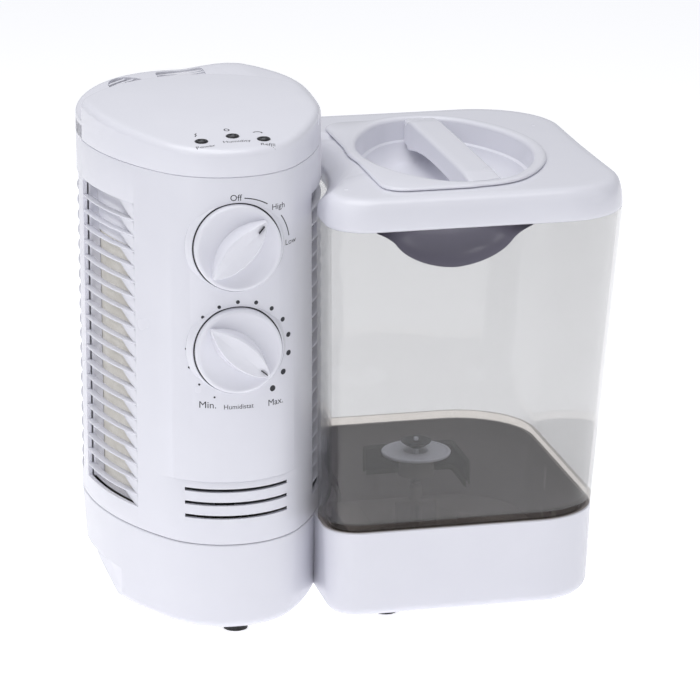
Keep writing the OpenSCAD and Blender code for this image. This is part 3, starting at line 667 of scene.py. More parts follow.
sweep = [math.radians(k / 4) for k in range(721)]
rear_line = [(tower_x + PLATE_R * math.cos(a), PLATE_Y + PLATE_R * math.sin(a)) for a in sweep]
rear_line = [p for p in rear_line if p[1] > 0 and tower.beyond(*p) < 0]
front_line = sorted((p for p in tower.outline(0.0, 1200) if p[1] < rear_line[0][1]),
                    key=lambda p: math.atan2(p[0] - tower_x, rear_line[0][1] + 1 - p[1]))
plate_plan = resampled(rear_line + front_line, 360)


def shrunk(points, scale):
    middle = (tower_x, -22.0)
    return [between(middle, p, scale) for p in points]


cover_levels = [(shrunk(plate_plan, 0.993), COVER_BOTTOM + 0.02), (shrunk(plate_plan, 0.998), COVER_BOTTOM + 0.3),
                (plate_plan, COVER_BOTTOM + 0.9), (plate_plan, 297.0)]
for scale in (1.0, 0.9985, 0.996, 0.992, 0.987, 0.98, 0.972, 0.962, 0.95, 0.93, 0.9, 0.86, 0.8, 0.72, 0.62, 0.5,
              0.38, 0.26, 0.14, 0.04):
    points = shrunk(plate_plan, scale)
    cover_levels.append((points, [plate_edge_z(*p) for p in points]))
cover = joined(stacked(cover_levels), stacked([(shrunk(plate_plan, 0.965), z) for z in (COVER_BOTTOM - 1, 300.5)]),
               "DIFFERENCE")
LIGHTS = ((-104.6, -85.3), (-84.6, -79.6), (-67.0, -86.5))
sockets = bmesh.new()
for x, y in LIGHTS:
    turned = [(0.0, 290.0), (3.05, 290.0), (3.05, dome(x, y) - 1.0), (4.15, dome(x, y) - 1.0), (4.15, 330.0),
              (0.0, 330.0)]
    verts = [sockets.verts.new((x + r, y, z)) for r, z in turned]
    edges = [sockets.edges.new(pair) for pair in zip(verts, verts[1:])]
    bmesh.ops.spin(sockets, geom=verts + edges, cent=(x, y, 0), axis=(0, 0, 1), angle=math.tau, steps=40,
                   use_merge=True)
bmesh.ops.remove_doubles(sockets, verts=sockets.verts, dist=0.001)
bmesh.ops.recalc_face_normals(sockets, faces=sockets.faces)
piece("top_cover_plate", joined(cover, sockets, "DIFFERENCE"), white_abs, "housing", ["top_cover"],
      crease=38)

# the deck: a crescent of thin wall from the band's seam up over its rim and in under the plate's rear edge
DECK_STEPS = 130


def along(line, count):
    """An open line again at even steps."""
    return resampled(line + line[-2:0:-1], 2 * count)[:count + 1]


rear_rim = sorted((p for p in tower.outline(0.0, 1600) if p[1] > rear_line[0][1] - 0.1),
                  key=lambda p: math.atan2(p[1] - PLATE_Y, p[0] - tower_x))
rim_line = along(rear_rim, DECK_STEPS)
under_line = along([between((tower_x, PLATE_Y), p, 0.985) for p in rear_line], DECK_STEPS)
tucked = [between(p, (tower_x, 20.0), 0.008) for p in rim_line]
rows = [[(*p, COVER_BOTTOM + 0.02) for p in tucked], [(*p, COVER_BOTTOM + 0.8) for p in rim_line],
        [(*p, 297.0) for p in rim_line]]
for t in (0.0, 0.02, 0.045, 0.08, 0.12, 0.18, 0.26, 0.36, 0.48, 0.6, 0.72, 0.84, 0.93, 1.0):
    rows.append([(*p, deck_z(*p)) for p in (between(a, b, t) for a, b in zip(rim_line, under_line))])
deck = bmesh.new()
draped(deck, rows, 2.2)
bmesh.ops.recalc_face_normals(deck, faces=deck.faces)
SLAT_PITCH, SLAT_W = 4.2, 1.7
ROUND_OUTLET, ROUND_A, ROUND_B = (-120.0, 79.0), 13.0, 17.0
LONG_OUTLET = (-99.0, -69.0)


def arc_slice(inset, x0, x1, count):
    """Points along the back of the oval, inset from its rim, between two x."""
    fine = sorted((p for p in tower.outline(-inset, 1600) if p[1] > 60), key=lambda p: p[0])
    run, at = [], 0
    for k in range(count + 1):
        x = x0 + (x1 - x0) * k / count
        while fine[at + 1][0] < x:
            at += 1
        run.append(between(fine[at], fine[at + 1], (x - fine[at][0]) / (fine[at + 1][0] - fine[at][0])))
    return run


outlet = [(ROUND_OUTLET[0] + ROUND_A * math.cos(a), ROUND_OUTLET[1] + ROUND_B * math.sin(a))
          for a in (math.tau * k / 72 for k in range(72))]
slot_line = arc_slice(6.0, *LONG_OUTLET, 16) + arc_slice(24.0, *LONG_OUTLET, 16)[::-1]
slot_line = softened(resampled(slot_line, 240), 9)
deck = joined(deck, stacked([(outlet, z) for z in (280.0, 330.0)]), "DIFFERENCE")
deck = joined(deck, stacked([(slot_line, z) for z in (280.0, 330.0)]), "DIFFERENCE")
piece("top_cover_deck", deck, white_abs, "housing", crease=38)


# Outlet grille. Thin white slats that follow the rim, set a little below the deck in both outlets.
slats = bmesh.new()
for low_x, high_x, first, last in ((-133.5, -106.5, 5.0, 44.0), (LONG_OUTLET[0] - 1, LONG_OUTLET[1] + 1, 9.0, 24.0)):
    inset = first
    while inset < last:
        edges = [arc_slice(inset + w, low_x, high_x, 20) for w in (0.0, SLAT_W)]
        if low_x < -110:
            keep = [i for i, p in enumerate(edges[0]) if ((p[0] - ROUND_OUTLET[0]) / (ROUND_A + 0.8)) ** 2
                    + ((p[1] - ROUND_OUTLET[1]) / (ROUND_B + 0.8)) ** 2 < 1]
            edges = [[line[i] for i in keep] for line in edges]
        if len(edges[0]) > 2:
            loop = edges[0] + edges[1][::-1]
            stacked([(loop, [deck_z(*p) - 4.2 for p in loop]), (loop, [deck_z(*p) - 1.0 for p in loop])], bm=slats)
        inset += SLAT_PITCH
piece("outlet_slats", slats, white_abs, "housing", ["outlet_grille"])


# Status lights. Three clear domed lamp caps in black moulded bezels, pressed into sockets in the plate, with
# their names and small signs printed on the plate in dark grey ink.
black_abs = moulded("black_abs_moulded", "#26262A", "#1C1C20", 0.35, 0.7, 0.03, cloud=12.0)
bezels, lenses = bmesh.new(), bmesh.new()


def turned_z(bm, x, y, profile, steps=40):
    """Spins a profile of (radius, z) about the upright axis through x and y."""
    verts = [bm.verts.new((x + r, y, z)) for r, z in profile]
    edges = [bm.edges.new(pair) for pair in zip(verts, verts[1:])]
    bmesh.ops.spin(bm, geom=verts + edges, cent=(x, y, 0), axis=(0, 0, 1), angle=math.tau, steps=steps,
                   use_merge=True)
    bmesh.ops.remove_doubles(bm, verts=bm.verts, dist=0.001)
    bmesh.ops.recalc_face_normals(bm, faces=bm.faces)


for x, y in LIGHTS:
    seat = dome(x, y) - 1.0
    turned_z(bezels, x, y, [(2.05, 303), (3.0, 303), (3.0, seat), (4.0, seat), (4.0, seat + 1.1), (3.7, seat + 1.6),
                            (3.1, seat + 1.88), (2.5, seat + 1.8), (2.05, seat + 1.3), (2.05, 303)])
    turned_z(lenses, x, y, [(0.0, 302), (1.95, 302), (1.95, seat + 0.7), (1.7, seat + 1.1), (1.1, seat + 1.3),
                            (0.0, seat + 1.38)])
piece("light_bezel_rings", bezels, black_abs, "housing", ["light_bezels"], crease=50)
lamp_cap, tree = new_material("lamp_cap_clear")
place = add_node(tree, "ShaderNodeTexCoord").outputs["Object"]
milk = add_node(tree, "ShaderNodeTexNoise", {"Vector": place, "Scale": 1 / (1.2 * MM), "Detail": 2.0})
tint = add_node(tree, "ShaderNodeMix", {"Factor": milk.outputs["Fac"], "A": linear("#8C8E94"),
                                        "B": linear("#63656C")}, data_type="RGBA")
cap = add_node(tree, "ShaderNodeBsdfPrincipled", {"Base Color": tint.outputs["Result"], "Roughness": 0.12,
                                                  "IOR": 1.49})
add_node(tree, "ShaderNodeOutputMaterial", {"Surface": cap.outputs["BSDF"]})
piece("light_lamp_caps", lenses, lamp_cap, "housing", ["light_lenses"])

# pad-printed ink: a thin dark film, matter than the plastic under it, a little worn
ink, tree = new_material("ink_pad_printed")
place = add_node(tree, "ShaderNodeTexCoord").outputs["Object"]
wear = add_node(tree, "ShaderNodeTexNoise", {"Vector": place, "Scale": 1 / (0.8 * MM), "Detail": 4.0})
tint = add_node(tree, "ShaderNodeMix", {"Factor": wear.outputs["Fac"], "A": linear("#1B1B20"),
                                        "B": linear("#3A3A42")}, data_type="RGBA")
film = add_node(tree, "ShaderNodeBsdfPrincipled", {"Base Color": tint.outputs["Result"], "Roughness": 0.55})
add_node(tree, "ShaderNodeOutputMaterial", {"Surface": film.outputs["BSDF"]})


def absorb(bm, other):
    """Adds another mesh's faces to bm and frees it."""
    mesh = bpy.data.meshes.new("carrier")
    other.to_mesh(mesh)
    other.free()
    bm.from_mesh(mesh)
    bpy.data.meshes.remove(mesh)


def printed(flat, lay, bm):
    """Adds a flat mark, drawn in mm on X and Y, to bm as a film on the surface that lay gives points on."""
    bmesh.ops.triangulate(flat, faces=flat.faces[:])
    bmesh.ops.subdivide_edges(flat, edges=[e for e in flat.edges if e.calc_length() > 1.6], cuts=1)
    for v in flat.verts:
        v.co = lay(v.co.x, v.co.y)
    bmesh.ops.recalc_face_normals(flat, faces=flat.faces)
    absorb(bm, flat)


def word(text, size):
    """A word as a flat shape, centred, size mm high."""
    curve = bpy.data.curves.new("word", "FONT")
    curve.body, curve.size, curve.align_x, curve.align_y = text, size, "CENTER", "CENTER"
    curve.resolution_u = 3
    holder = bpy.data.objects.new("word", curve)
    bpy.context.scene.collection.objects.link(holder)
    bpy.context.view_layer.update()
    flat = bmesh.new()
    mesh = bpy.data.meshes.new_from_object(holder.evaluated_get(bpy.context.evaluated_depsgraph_get()))
    flat.from_mesh(mesh)
    bpy.data.objects.remove(holder)
    bpy.data.meshes.remove(mesh)
    bmesh.ops.remove_doubles(flat, verts=flat.verts, dist=0.001)
    return flat


def disc(x, y, r, flat=None, segments=20):
    flat = flat or bmesh.new()
    verts = bmesh.ops.create_circle(flat, cap_ends=True, segments=segments, radius=r)["verts"]
    bmesh.ops.translate(flat, verts=verts, vec=(x, y, 0))
    return flat


def stroke(points, width, flat=None):
    """A flat line of some width through points."""
    flat = flat or bmesh.new()
    sides = ([], [])
    for i, p in enumerate(points):
        a, b = points[max(i - 1, 0)], points[min(i + 1, len(points) - 1)]
        n = math.dist(a, b)
        across = (-(b[1] - a[1]) / n * width / 2, (b[0] - a[0]) / n * width / 2)
        sides[0].append((p[0] - across[0], p[1] - across[1], 0))
        sides[1].append((p[0] + across[0], p[1] + across[1], 0))
    draped(flat, list(sides))
    return flat


INK_LIFT = 0.05
cover_marks = bmesh.new()


def on_plate(x0, y0, turn):
    c, s = math.cos(math.radians(turn)), math.sin(math.radians(turn))

    def lay(u, v):
        x, y = x0 + u * c - v * s, y0 + u * s + v * c
        return x, y, plate_z(x, y) + INK_LIFT
    return lay


for (x, y), text, turn in zip(LIGHTS, ("Power", "Humidity", "Refill"), (9, 2, -8)):
    printed(word(text, 4.6), on_plate(x + 0.8, y - 9.0, turn), cover_marks)
bolt = stroke([(0.9, 2.6), (-0.5, 0.2), (0.5, -0.1), (-0.8, -2.8)], 0.7)
drop = stroke([(1.5 * math.sin(math.tau * k / 18) * (1 - 0.35 * max(0, math.cos(math.tau * k / 18))),
                1.9 * math.cos(math.tau * k / 18)) for k in range(19)], 0.7)
tap = stroke([(-2.6, 0.4), (-1.2, 1.4), (0.8, 1.3), (2.2, 0.6), (2.6, -1.2)], 0.9)
for (x, y), sign in zip(LIGHTS, (bolt, drop, tap)):
    printed(sign, on_plate(x - 1.5, y + 11.0, 0), cover_marks)
piece("cover_printing", cover_marks, ink, "housing")


# Inside the tower. The splash guard, fan deck, shroud, motor and its bracket, screws, switch, humidistat, boards
# and sensor are seen only through the windows, the outlets and from below, and keep their shapes.
finished(inner_abs, "splash_guard", "fan_deck")
finished(black_abs, "fan_shroud", "motor_bracket", "speed_switch", "float_sensor")
finished(plated_steel, "fan_motor", "motor_screws", "deck_screws", "cover_screws", "speed_shaft", "humidistat_shaft",
         "motor_shaft")
finished(moulded("cream_nylon_moulded", "#DDD6BE", "#D2CAB0", 0.5, 0.7, 0.04, cloud=10.0), "humidistat")
finished(moulded("grey_abs_moulded", "#5A5C63", "#4E5057", 0.4, 0.6, 0.03, cloud=14.0), "fan_wheel")
finished(black_rubber, "cord_grommet")
solder_mask, tree = new_material("board_solder_mask")
place = add_node(tree, "ShaderNodeTexCoord").outputs["Object"]
tracks = add_node(tree, "ShaderNodeTexBrick", {"Vector": place, "Scale": 1 / (6.0 * MM), "Color1": linear("#1E5A35"),
                                               "Color2": linear("#226440"), "Mortar": linear("#2F7A50"),
                                               "Mortar Size": 0.03})
board = add_node(tree, "ShaderNodeBsdfPrincipled", {"Base Color": tracks.outputs["Color"], "Roughness": 0.3})
add_node(tree, "ShaderNodeOutputMaterial", {"Surface": board.outputs["BSDF"]})
finished(solder_mask, "status_board", "control_board")


# Knobs. Two white ABS knobs with a bevelled rim, a dished face and a leaf-shaped grip across it whose flanks
# sweep down into the dish. A short groove near the grip's tip is filled with dark ink. A thin black ring in the
# gap behind each knob is painted shadow: it stands for the dark shade of that gap.
SPEED_REST, HUMID_REST = 44.0, 131.0
FACE_Y = KNOB_BACK - 5.6
GRIP_Y = KNOB_FRONT + 0.05


def leaf(half_long, half_wide, count=96):
    """A pointed oval made of two arcs, its tips up and down, a little blunted."""
    r = (half_long ** 2 + half_wide ** 2) / (2 * half_wide)
    spread = math.asin(half_long / r)
    points = []
    for side in (1, -1):
        for k in range(count // 2):
            a = spread * (1 - 2 * k / (count // 2)) * side
            points.append((side * (r * math.cos(a) - (r - half_wide)), r * math.sin(a)))
    return softened(points, 1)


def knob(name, z, turn, body, nodes):
    bm = turned_y(bmesh.new(), tower_x, z, [
        (0.0, KNOB_BACK), (KNOB_R - 0.3, KNOB_BACK), (KNOB_R, KNOB_BACK - 0.3), (KNOB_R, KNOB_BACK - 4.4),
        (KNOB_R - 0.3, KNOB_BACK - 5.2), (KNOB_R - 1.0, KNOB_BACK - 5.9), (KNOB_R - 1.8, KNOB_BACK - 6.2),
        (KNOB_R - 2.6, KNOB_BACK - 6.1), (KNOB_R - 3.6, FACE_Y + 0.0), (KNOB_R - 8.0, FACE_Y + 1.1),
        (KNOB_R - 14.0, FACE_Y + 1.9), (KNOB_R - 20.0, FACE_Y + 2.2), (0.0, FACE_Y + 2.3)])
    grip_levels = []
    for long, wide, y in ((22.6, 10.8, FACE_Y + 3.2), (23.2, 10.2, FACE_Y + 1.4), (23.9, 9.4, FACE_Y - 1.2),
                          (24.2, 8.6, FACE_Y - 4.0), (24.1, 8.1, GRIP_Y + 0.7), (23.9, 7.8, GRIP_Y + 0.2),
                          (23.5, 7.3, GRIP_Y), (22.6, 6.4, GRIP_Y + 0.25), (15.0, 4.0, GRIP_Y + 0.9),
                          (6.0, 1.5, GRIP_Y + 1.2)):
        # the flanks lean back towards the rim, so the grip is lower at its tips
        points = leaf(long, wide)
        drop = [max(0.0, (abs(v) - 12.0) / 12.0) ** 2 * 4.6 * (1 if y < FACE_Y - 0.5 else 0.2) for _, v in points]
        grip_levels.append((points, [-(y + d) for d, (_, v) in zip(drop, points)]))
    grip = stacked(grip_levels)
    bmesh.ops.rotate(grip, verts=grip.verts, matrix=Matrix.Rotation(math.radians(90), 3, "X"))
    bmesh.ops.translate(grip, verts=grip.verts, vec=(tower_x, 0, z))
    absorb(bm, grip)
    bmesh.ops.rotate(bm, verts=bm.verts, cent=(tower_x, 0, z), matrix=Matrix.Rotation(math.radians(turn), 3, "Y"))
    bmesh.ops.recalc_face_normals(bm, faces=bm.faces)
    piece(name, bm, white_abs, body, nodes, crease=38)
    groove = bmesh.new()
    block(groove, (tower_x - 0.3, GRIP_Y + 0.3, z + 15.4), (tower_x + 0.3, GRIP_Y + 2.0, z + 20.6))
    for v in groove.verts:
        v.co.y += 1.1 if v.co.z > z + 17 else 0.0
    bmesh.ops.rotate(groove, verts=groove.verts, cent=(tower_x, 0, z),
                     matrix=Matrix.Rotation(math.radians(turn), 3, "Y"))
    piece(name + "_pointer", groove, ink, body)


# painted shadow: a thin black ring on each knob's seat that darkens the gap behind the knob, where shade falls
knob_gap_shadow = bmesh.new()
for z in (speed_z, humid_z):
    turned_y(knob_gap_shadow, tower_x, z, [(KNOB_R - 2.0, SEAT_Y - 0.05), (WELL_R - 0.05, SEAT_Y - 0.05),
                                (WELL_R - 0.05, SEAT_Y - 0.3), (KNOB_R - 2.0, SEAT_Y - 0.3),
                                (KNOB_R - 2.0, SEAT_Y - 0.05)])
piece("knob_gap_painted_shadow_rings", knob_gap_shadow, black_rubber, "housing")


knob("speed_knob_cap", speed_z, SPEED_REST, "speed_dial", ["speed_knob"])
knob("humidistat_knob_cap", humid_z, HUMID_REST, "humidity_dial", ["humidistat_knob"])


# Dial printing. Dark ink on the curved front of the housing: the speed dial's words with an arc between them, and
# the humidistat's dots, which grow from its least to its greatest setting.
def front_y(x):
    """The housing's face at its front, at some x."""
    dx = min(abs(x - tower_x), 45.0)
    return tower_y - tower_depth[-1] + tower_end[-1] - math.sqrt(tower_end[-1] ** 2 - dx ** 2)


def on_front(x0, z0, turn, r, spin=0.0):
    """Places a mark at r mm from a dial's centre, turn degrees clockwise from the top."""
    a, b = math.radians(turn), math.radians(spin)

    def lay(u, v):
        x = x0 + r * math.sin(a) + u * math.cos(b) + v * math.sin(b)
        return x, front_y(x) - INK_LIFT, z0 + r * math.cos(a) - u * math.sin(b) + v * math.cos(b)
    return lay


dial_marks = bmesh.new()
MARK_X, SPEED_MARK_Z, HUMID_MARK_Z = tower_x + 1.0, speed_z - 3.2, humid_z - 1.8
for text, size, turn, r in (("Off", 5.4, -3.0, 33.6), ("High", 5.0, 45.5, 36.0), ("Low", 4.8, 88.0, 34.6)):
    printed(word(text, size), on_front(MARK_X, SPEED_MARK_Z, turn, r), dial_marks)
for start, stop, r in ((6, 33, 33.4), (55, 81, 33.6)):
    arc = [(r * math.sin(math.radians(start + (stop - start) * k / 14)),
            r * math.cos(math.radians(start + (stop - start) * k / 14))) for k in range(15)]
    printed(stroke(arc, 0.6), on_front(MARK_X, SPEED_MARK_Z, 0, 0), dial_marks)
DOTS = 15
for i in range(DOTS):
    turn, r = 211 + 290.5 * i / (DOTS - 1), 0.62 + 1.28 * (i / (DOTS - 1)) ** 1.15
    printed(disc(0, 0, r), on_front(MARK_X + 1.0, HUMID_MARK_Z, turn, 32.0), dial_marks)
for text, size, x, z in (("Min.", 6.0, -19.5, -32.6), ("Humidistat", 4.2, -1.0, -33.8), ("Max.", 5.6, 23.0, -34.0)):
    printed(word(text, size), on_front(MARK_X + x, HUMID_MARK_Z + z, 0, 0), dial_marks)
piece("dial_printing", dial_marks, ink, "housing")


# Tank wall. Clear styrene, moulded with a double-curved thin wall that leans out towards the top and hollows to
# pass round the tower. It is nearly colourless with a faint cool grey, and shines at its edges.
clear_styrene, tree = new_material("clear_styrene_moulded")
place = add_node(tree, "ShaderNodeTexCoord").outputs["Object"]
ripple = add_node(tree, "ShaderNodeTexNoise", {"Vector": place, "Scale": 1 / (30.0 * MM), "Detail": 1.0})
wavy = add_node(tree, "ShaderNodeBump", {"Height": ripple.outputs["Fac"], "Strength": 0.3, "Distance": 0.5 * MM})
film = add_node(tree, "ShaderNodeBsdfTransparent", {"Color": linear("#EFEFEF")})
shine = add_node(tree, "ShaderNodeBsdfGlossy", {"Color": linear("#FFFFFF"), "Roughness": 0.03,
                                                "Normal": wavy.outputs["Normal"]})
edge_on = add_node(tree, "ShaderNodeLayerWeight", {"Blend": 0.5})
steep = add_node(tree, "ShaderNodeMath", {0: edge_on.outputs["Facing"], 1: 4.0}, operation="POWER")
mirror_share = add_node(tree, "ShaderNodeMapRange", {"Value": steep.outputs[0], "To Min": 0.045, "To Max": 0.55})
sheet = add_node(tree, "ShaderNodeMixShader", {"Fac": mirror_share.outputs["Result"]})
tree.links.new(film.outputs[0], sheet.inputs[1])
tree.links.new(shine.outputs[0], sheet.inputs[2])
add_node(tree, "ShaderNodeOutputMaterial", {"Surface": sheet.outputs[0]})
TANK_WALL = 2.4
heights = [RIM_Z + (LID_Z - RIM_Z) * k / 12 for k in range(13)]
tank_levels = [(tank_plan(z), z) for z in heights] + [(tank_plan(z, TANK_WALL), z) for z in heights[::-1]]
tank = stacked(tank_levels, closed=True)
SCOOP_X, SCOOP_TOP, SCOOP_LOW = 45.0, LID_Z - 0.1, 228.6


def scoop_half(z):
    """Half the width of the bell-shaped finger recess at height z: a cup whose rim flares out under the lid."""
    t = (z - SCOOP_LOW) / (SCOOP_TOP - SCOOP_LOW)
    return 39.0 * math.sin(math.acos(max(-1.0, min(1.0, 1 - t)))) ** 1.15 + 10.0 * max(0.0, (t - 0.62) / 0.38) ** 2.2


bell = [(SCOOP_X + scoop_half(z), z)
        for z in (SCOOP_LOW + (SCOOP_TOP - SCOOP_LOW) * (k / 40) ** 1.6 for k in range(41))]
bell = bell + [(2 * SCOOP_X - x, z) for x, z in bell[:0:-1]]
bell = resampled(bell, 128)
cutter = stacked([(bell, 90.0), (bell, 140.0)])
bmesh.ops.rotate(cutter, verts=cutter.verts, matrix=Matrix.Rotation(math.radians(90), 3, "X"))
tank = joined(tank, cutter, "DIFFERENCE")
piece("tank_wall", tank, clear_styrene, "tank", ["tank_shell"], crease=40)


# Finger recess. A smoked cup moulded into the front of the tank under its lid, for lifting it. Its opaque dark
# grey is partly the smoked plastic and partly painted shade of the hollow under the lid.
smoked_grey_and_painted_shade = moulded("smoked_styrene_cup_and_painted_shade", "#85828F", "#7B7885", 0.22, 0.9, 0.01, ior=1.59)


def tank_front_y(z):
    """The tank's front face at height z."""
    t = (z - RIM_Z) / (LID_Z - RIM_Z)
    return TANK_AT_RIM[2] + (TANK_AT_LID[2] - TANK_AT_RIM[2]) * t


rings = []
for scale in (1.0, 0.985, 0.96, 0.92, 0.86, 0.78, 0.68, 0.56, 0.42, 0.27, 0.12):
    line = [(SCOOP_X + (x - SCOOP_X) * scale, SCOOP_TOP + (z - SCOOP_TOP) * scale) for x, z in bell]
    depth = 0.1 + 15.0 * (1 - scale ** 2.4) ** 0.6
    rings.append([(x, tank_front_y(z) + depth, z) for x, z in line])
scoop = stacked([([(x, y) for x, y, z in ring], [z for x, y, z in ring]) for ring in rings])
bmesh.ops.delete(scoop, geom=[f for f in scoop.faces if len(f.verts) > 20 and f.calc_center_median().y < -110],
                 context="FACES_ONLY")
piece("finger_scoop_cup", scoop, smoked_grey_and_painted_shade, "tank", ["finger_scoop"], crease=60)


# Tank bottom. One smoked styrene moulding welded to the clear wall: a rim that shows as a dark band, a tub that
# stands in the base's well, and a raised block in its floor that carries the valve.
smoked_styrene, tree = new_material("smoked_styrene_moulded")
place = add_node(tree, "ShaderNodeTexCoord").outputs["Object"]
swirl = add_node(tree, "ShaderNodeTexNoise", {"Vector": place, "Scale": 1 / (40.0 * MM), "Detail": 2.0})
stain = add_node(tree, "ShaderNodeMix", {"Factor": swirl.outputs["Fac"], "A": linear("#F0EDEA"),
                                         "B": linear("#EAE7E3")}, data_type="RGBA")
film = add_node(tree, "ShaderNodeBsdfTransparent", {"Color": stain.outputs["Result"]})
haze = add_node(tree, "ShaderNodeBsdfPrincipled", {"Base Color": linear("#8F8A86"), "Roughness": 0.12, "IOR": 1.59})
edge_on = add_node(tree, "ShaderNodeLayerWeight", {"Blend": 0.5})
steep = add_node(tree, "ShaderNodeMath", {0: edge_on.outputs["Facing"], 1: 8.0}, operation="POWER")
density = add_node(tree, "ShaderNodeMapRange", {"Value": steep.outputs[0], "To Min": 0.05, "To Max": 0.8})
sheet = add_node(tree, "ShaderNodeMixShader", {"Fac": density.outputs["Result"]})
tree.links.new(film.outputs[0], sheet.inputs[1])
tree.links.new(haze.outputs[0], sheet.inputs[2])
add_node(tree, "ShaderNodeOutputMaterial", {"Surface": sheet.outputs[0]})
TUB_Z, TUB_WALL = bottom_low.z, 2.4
BAND_LOW = TRAY_TOP + 0.4
# the block is hollow from below and opens into the floor
BLOCK_X, BLOCK_Y = 31.0, 24.0
valve_high = box_mm("valve_seat")[1]
BLOCK_TOP = valve_high.z - 2.0


def block_plan(grow, r=5.0):
    points = []
    for sx, sy, start in ((1, 1, 0), (-1, 1, 90), (-1, -1, 180), (1, -1, 270)):
        for k in range(7):
            a = math.radians(start + 15 * k)
            points.append((valve_x + sx * (BLOCK_X - r) + (r + grow) * math.cos(a),
                           valve_y + sy * (BLOCK_Y - r) + (r + grow) * math.sin(a)))
    return resampled(points, 96)


solid = stacked([(tank_plan(RIM_Z, 11.4), TUB_Z + 0.02), (tank_plan(RIM_Z, 8.4), TUB_Z + 1.4),
                 (tank_plan(RIM_Z, 6.6), TUB_Z + 4.0), (tank_plan(RIM_Z, 5.2), BAND_LOW - 0.1),
                 (tank_plan(BAND_LOW, 0.5), BAND_LOW), (tank_plan(BAND_LOW), BAND_LOW + 0.5),
                 (tank_plan(RIM_Z - 0.05), RIM_Z - 0.05), (tank_plan(RIM_Z, TANK_WALL), RIM_Z - 0.05),
                 (tank_plan(RIM_Z, 5.0), RIM_Z - 2.0), (tank_plan(RIM_Z, 7.2), BAND_LOW),
                 (tank_plan(RIM_Z, 8.6), TUB_Z + 6.0), (tank_plan(RIM_Z, 10.4), TUB_Z + 3.4),
                 (tank_plan(RIM_Z, 13.0), TUB_Z + TUB_WALL)])
solid = joined(solid, stacked([(block_plan(0.0), TUB_Z + 1.0), (block_plan(0.0), BLOCK_TOP - 1.2),
                               (block_plan(-0.5), BLOCK_TOP - 0.3), (block_plan(-1.4), BLOCK_TOP)]), "UNION")
solid = joined(solid, stacked([(block_plan(-2.4), TUB_Z - 3), (block_plan(-2.4), BLOCK_TOP - 2.4)]), "DIFFERENCE")
bore = bmesh.new()
rod(bore, (valve_x, valve_y, TUB_Z - 2), (valve_x, valve_y, BLOCK_TOP + 4), 12.0)
solid = joined(solid, bore, "DIFFERENCE")
piece("tank_tub", solid, smoked_styrene, "tank", ["tank_bottom"], crease=35)


# Valve. A white seat disc screwed through the block, a black rubber cone that closes it from above on a white
# pin, and the spring that pulls the pin down. It stands open while the tank is on its base.
seat = bmesh.new()
turned_z(seat, valve_x, valve_y, [(7.0, BLOCK_TOP + 0.05), (22.3, BLOCK_TOP + 0.05), (22.5, BLOCK_TOP + 0.4),
                                  (22.5, BLOCK_TOP + 1.4), (22.0, BLOCK_TOP + 1.95), (20.6, BLOCK_TOP + 2.0),
                                  (20.0, BLOCK_TOP + 1.5), (11.0, BLOCK_TOP + 1.1), (9.6, BLOCK_TOP + 1.7),
                                  (8.2, BLOCK_TOP + 1.8), (7.2, BLOCK_TOP + 1.2), (7.0, BLOCK_TOP + 0.05)], 96)
turned_z(seat, valve_x, valve_y, [(9.8, 52), (11.8, 52), (11.8, BLOCK_TOP + 0.1), (9.8, BLOCK_TOP + 0.1), (9.8, 52)],
         64)
turned_z(seat, valve_x, valve_y, [(1.66, 52), (3.4, 52), (3.4, 60), (1.66, 60), (1.66, 52)], 32)
for k in range(3):
    arm = block(seat, (valve_x + 2.5, valve_y - 1, 52), (valve_x + 10.8, valve_y + 1, 55))
    bmesh.ops.rotate(seat, verts=arm, cent=(valve_x, valve_y, 0), matrix=Matrix.Rotation(math.tau * k / 3, 3, "Z"))
piece("valve_seat_disc", seat, white_abs, "tank", ["valve_seat"])
pin = bmesh.new()
turned_z(pin, valve_x, valve_y, [(0, 44), (1.2, 44), (1.6, 44.4), (1.6, 45), (3.2, 45), (3.2, 46.2), (1.6, 46.2),
                                 (1.6, 76.2), (1.2, 76.8), (0.5, 77), (0, 77)], 32)
piece("valve_pin_rod", pin, white_abs, "valve", ["valve_pin"])
cone = bmesh.new()
turned_z(cone, valve_x, valve_y, [(1.6, 69.8), (3.2, 69.8), (4.4, 70.3), (6.6, 71.6), (8.8, 73.2), (9.8, 74.1),
                                  (10.0, 74.5), (9.8, 74.9), (9.0, 75.0), (5.0, 74.4), (2.6, 74.6), (1.6, 74.9),
                                  (1.6, 69.8)], 64)
piece("valve_seal_cone", cone, black_rubber, "valve", ["valve_seal"])
COILS, COIL_R, WIRE_R, COIL_STEPS = 5, 2.6, 0.38, 24
SPRING_LOW, SPRING_HIGH = 46.6, 52.0
coil = bmesh.new()
wire = bmesh.ops.create_circle(coil, segments=8, radius=WIRE_R)["verts"]
bmesh.ops.rotate(coil, verts=wire, matrix=Matrix.Rotation(math.radians(90), 3, "X"))
bmesh.ops.translate(coil, verts=wire, vec=(valve_x + COIL_R, valve_y, SPRING_LOW))
bmesh.ops.spin(coil, geom=coil.edges[:], cent=(valve_x, valve_y, 0), axis=(0, 0, 1), angle=math.tau * COILS,
               steps=COIL_STEPS * COILS, dvec=(0, 0, (SPRING_HIGH - 0.4 - SPRING_LOW) / (COIL_STEPS * COILS)))
bmesh.ops.holes_fill(coil, edges=[e for e in coil.edges if e.is_boundary], sides=0)
bmesh.ops.recalc_face_normals(coil, faces=coil.faces)
piece("valve_spring_coil", coil, plated_steel, "tank", ["valve_spring"])


# Tank lid. The white ABS top of the tank, bonded to the clear wall: a skirt that leans back with a crisp upper
# edge, an oval well for the cap, and a trough that falls away towards the tower.
BOWL_X, BOWL_Y = 66.5, 1.0
bowl = Oval(BOWL_X, BOWL_Y, 54.0, {-1: 86.0, 1: 86.0}, {-1: 36.0, 1: 36.0})
LID_TOP = lid_high.z
LID_COUNT = 360


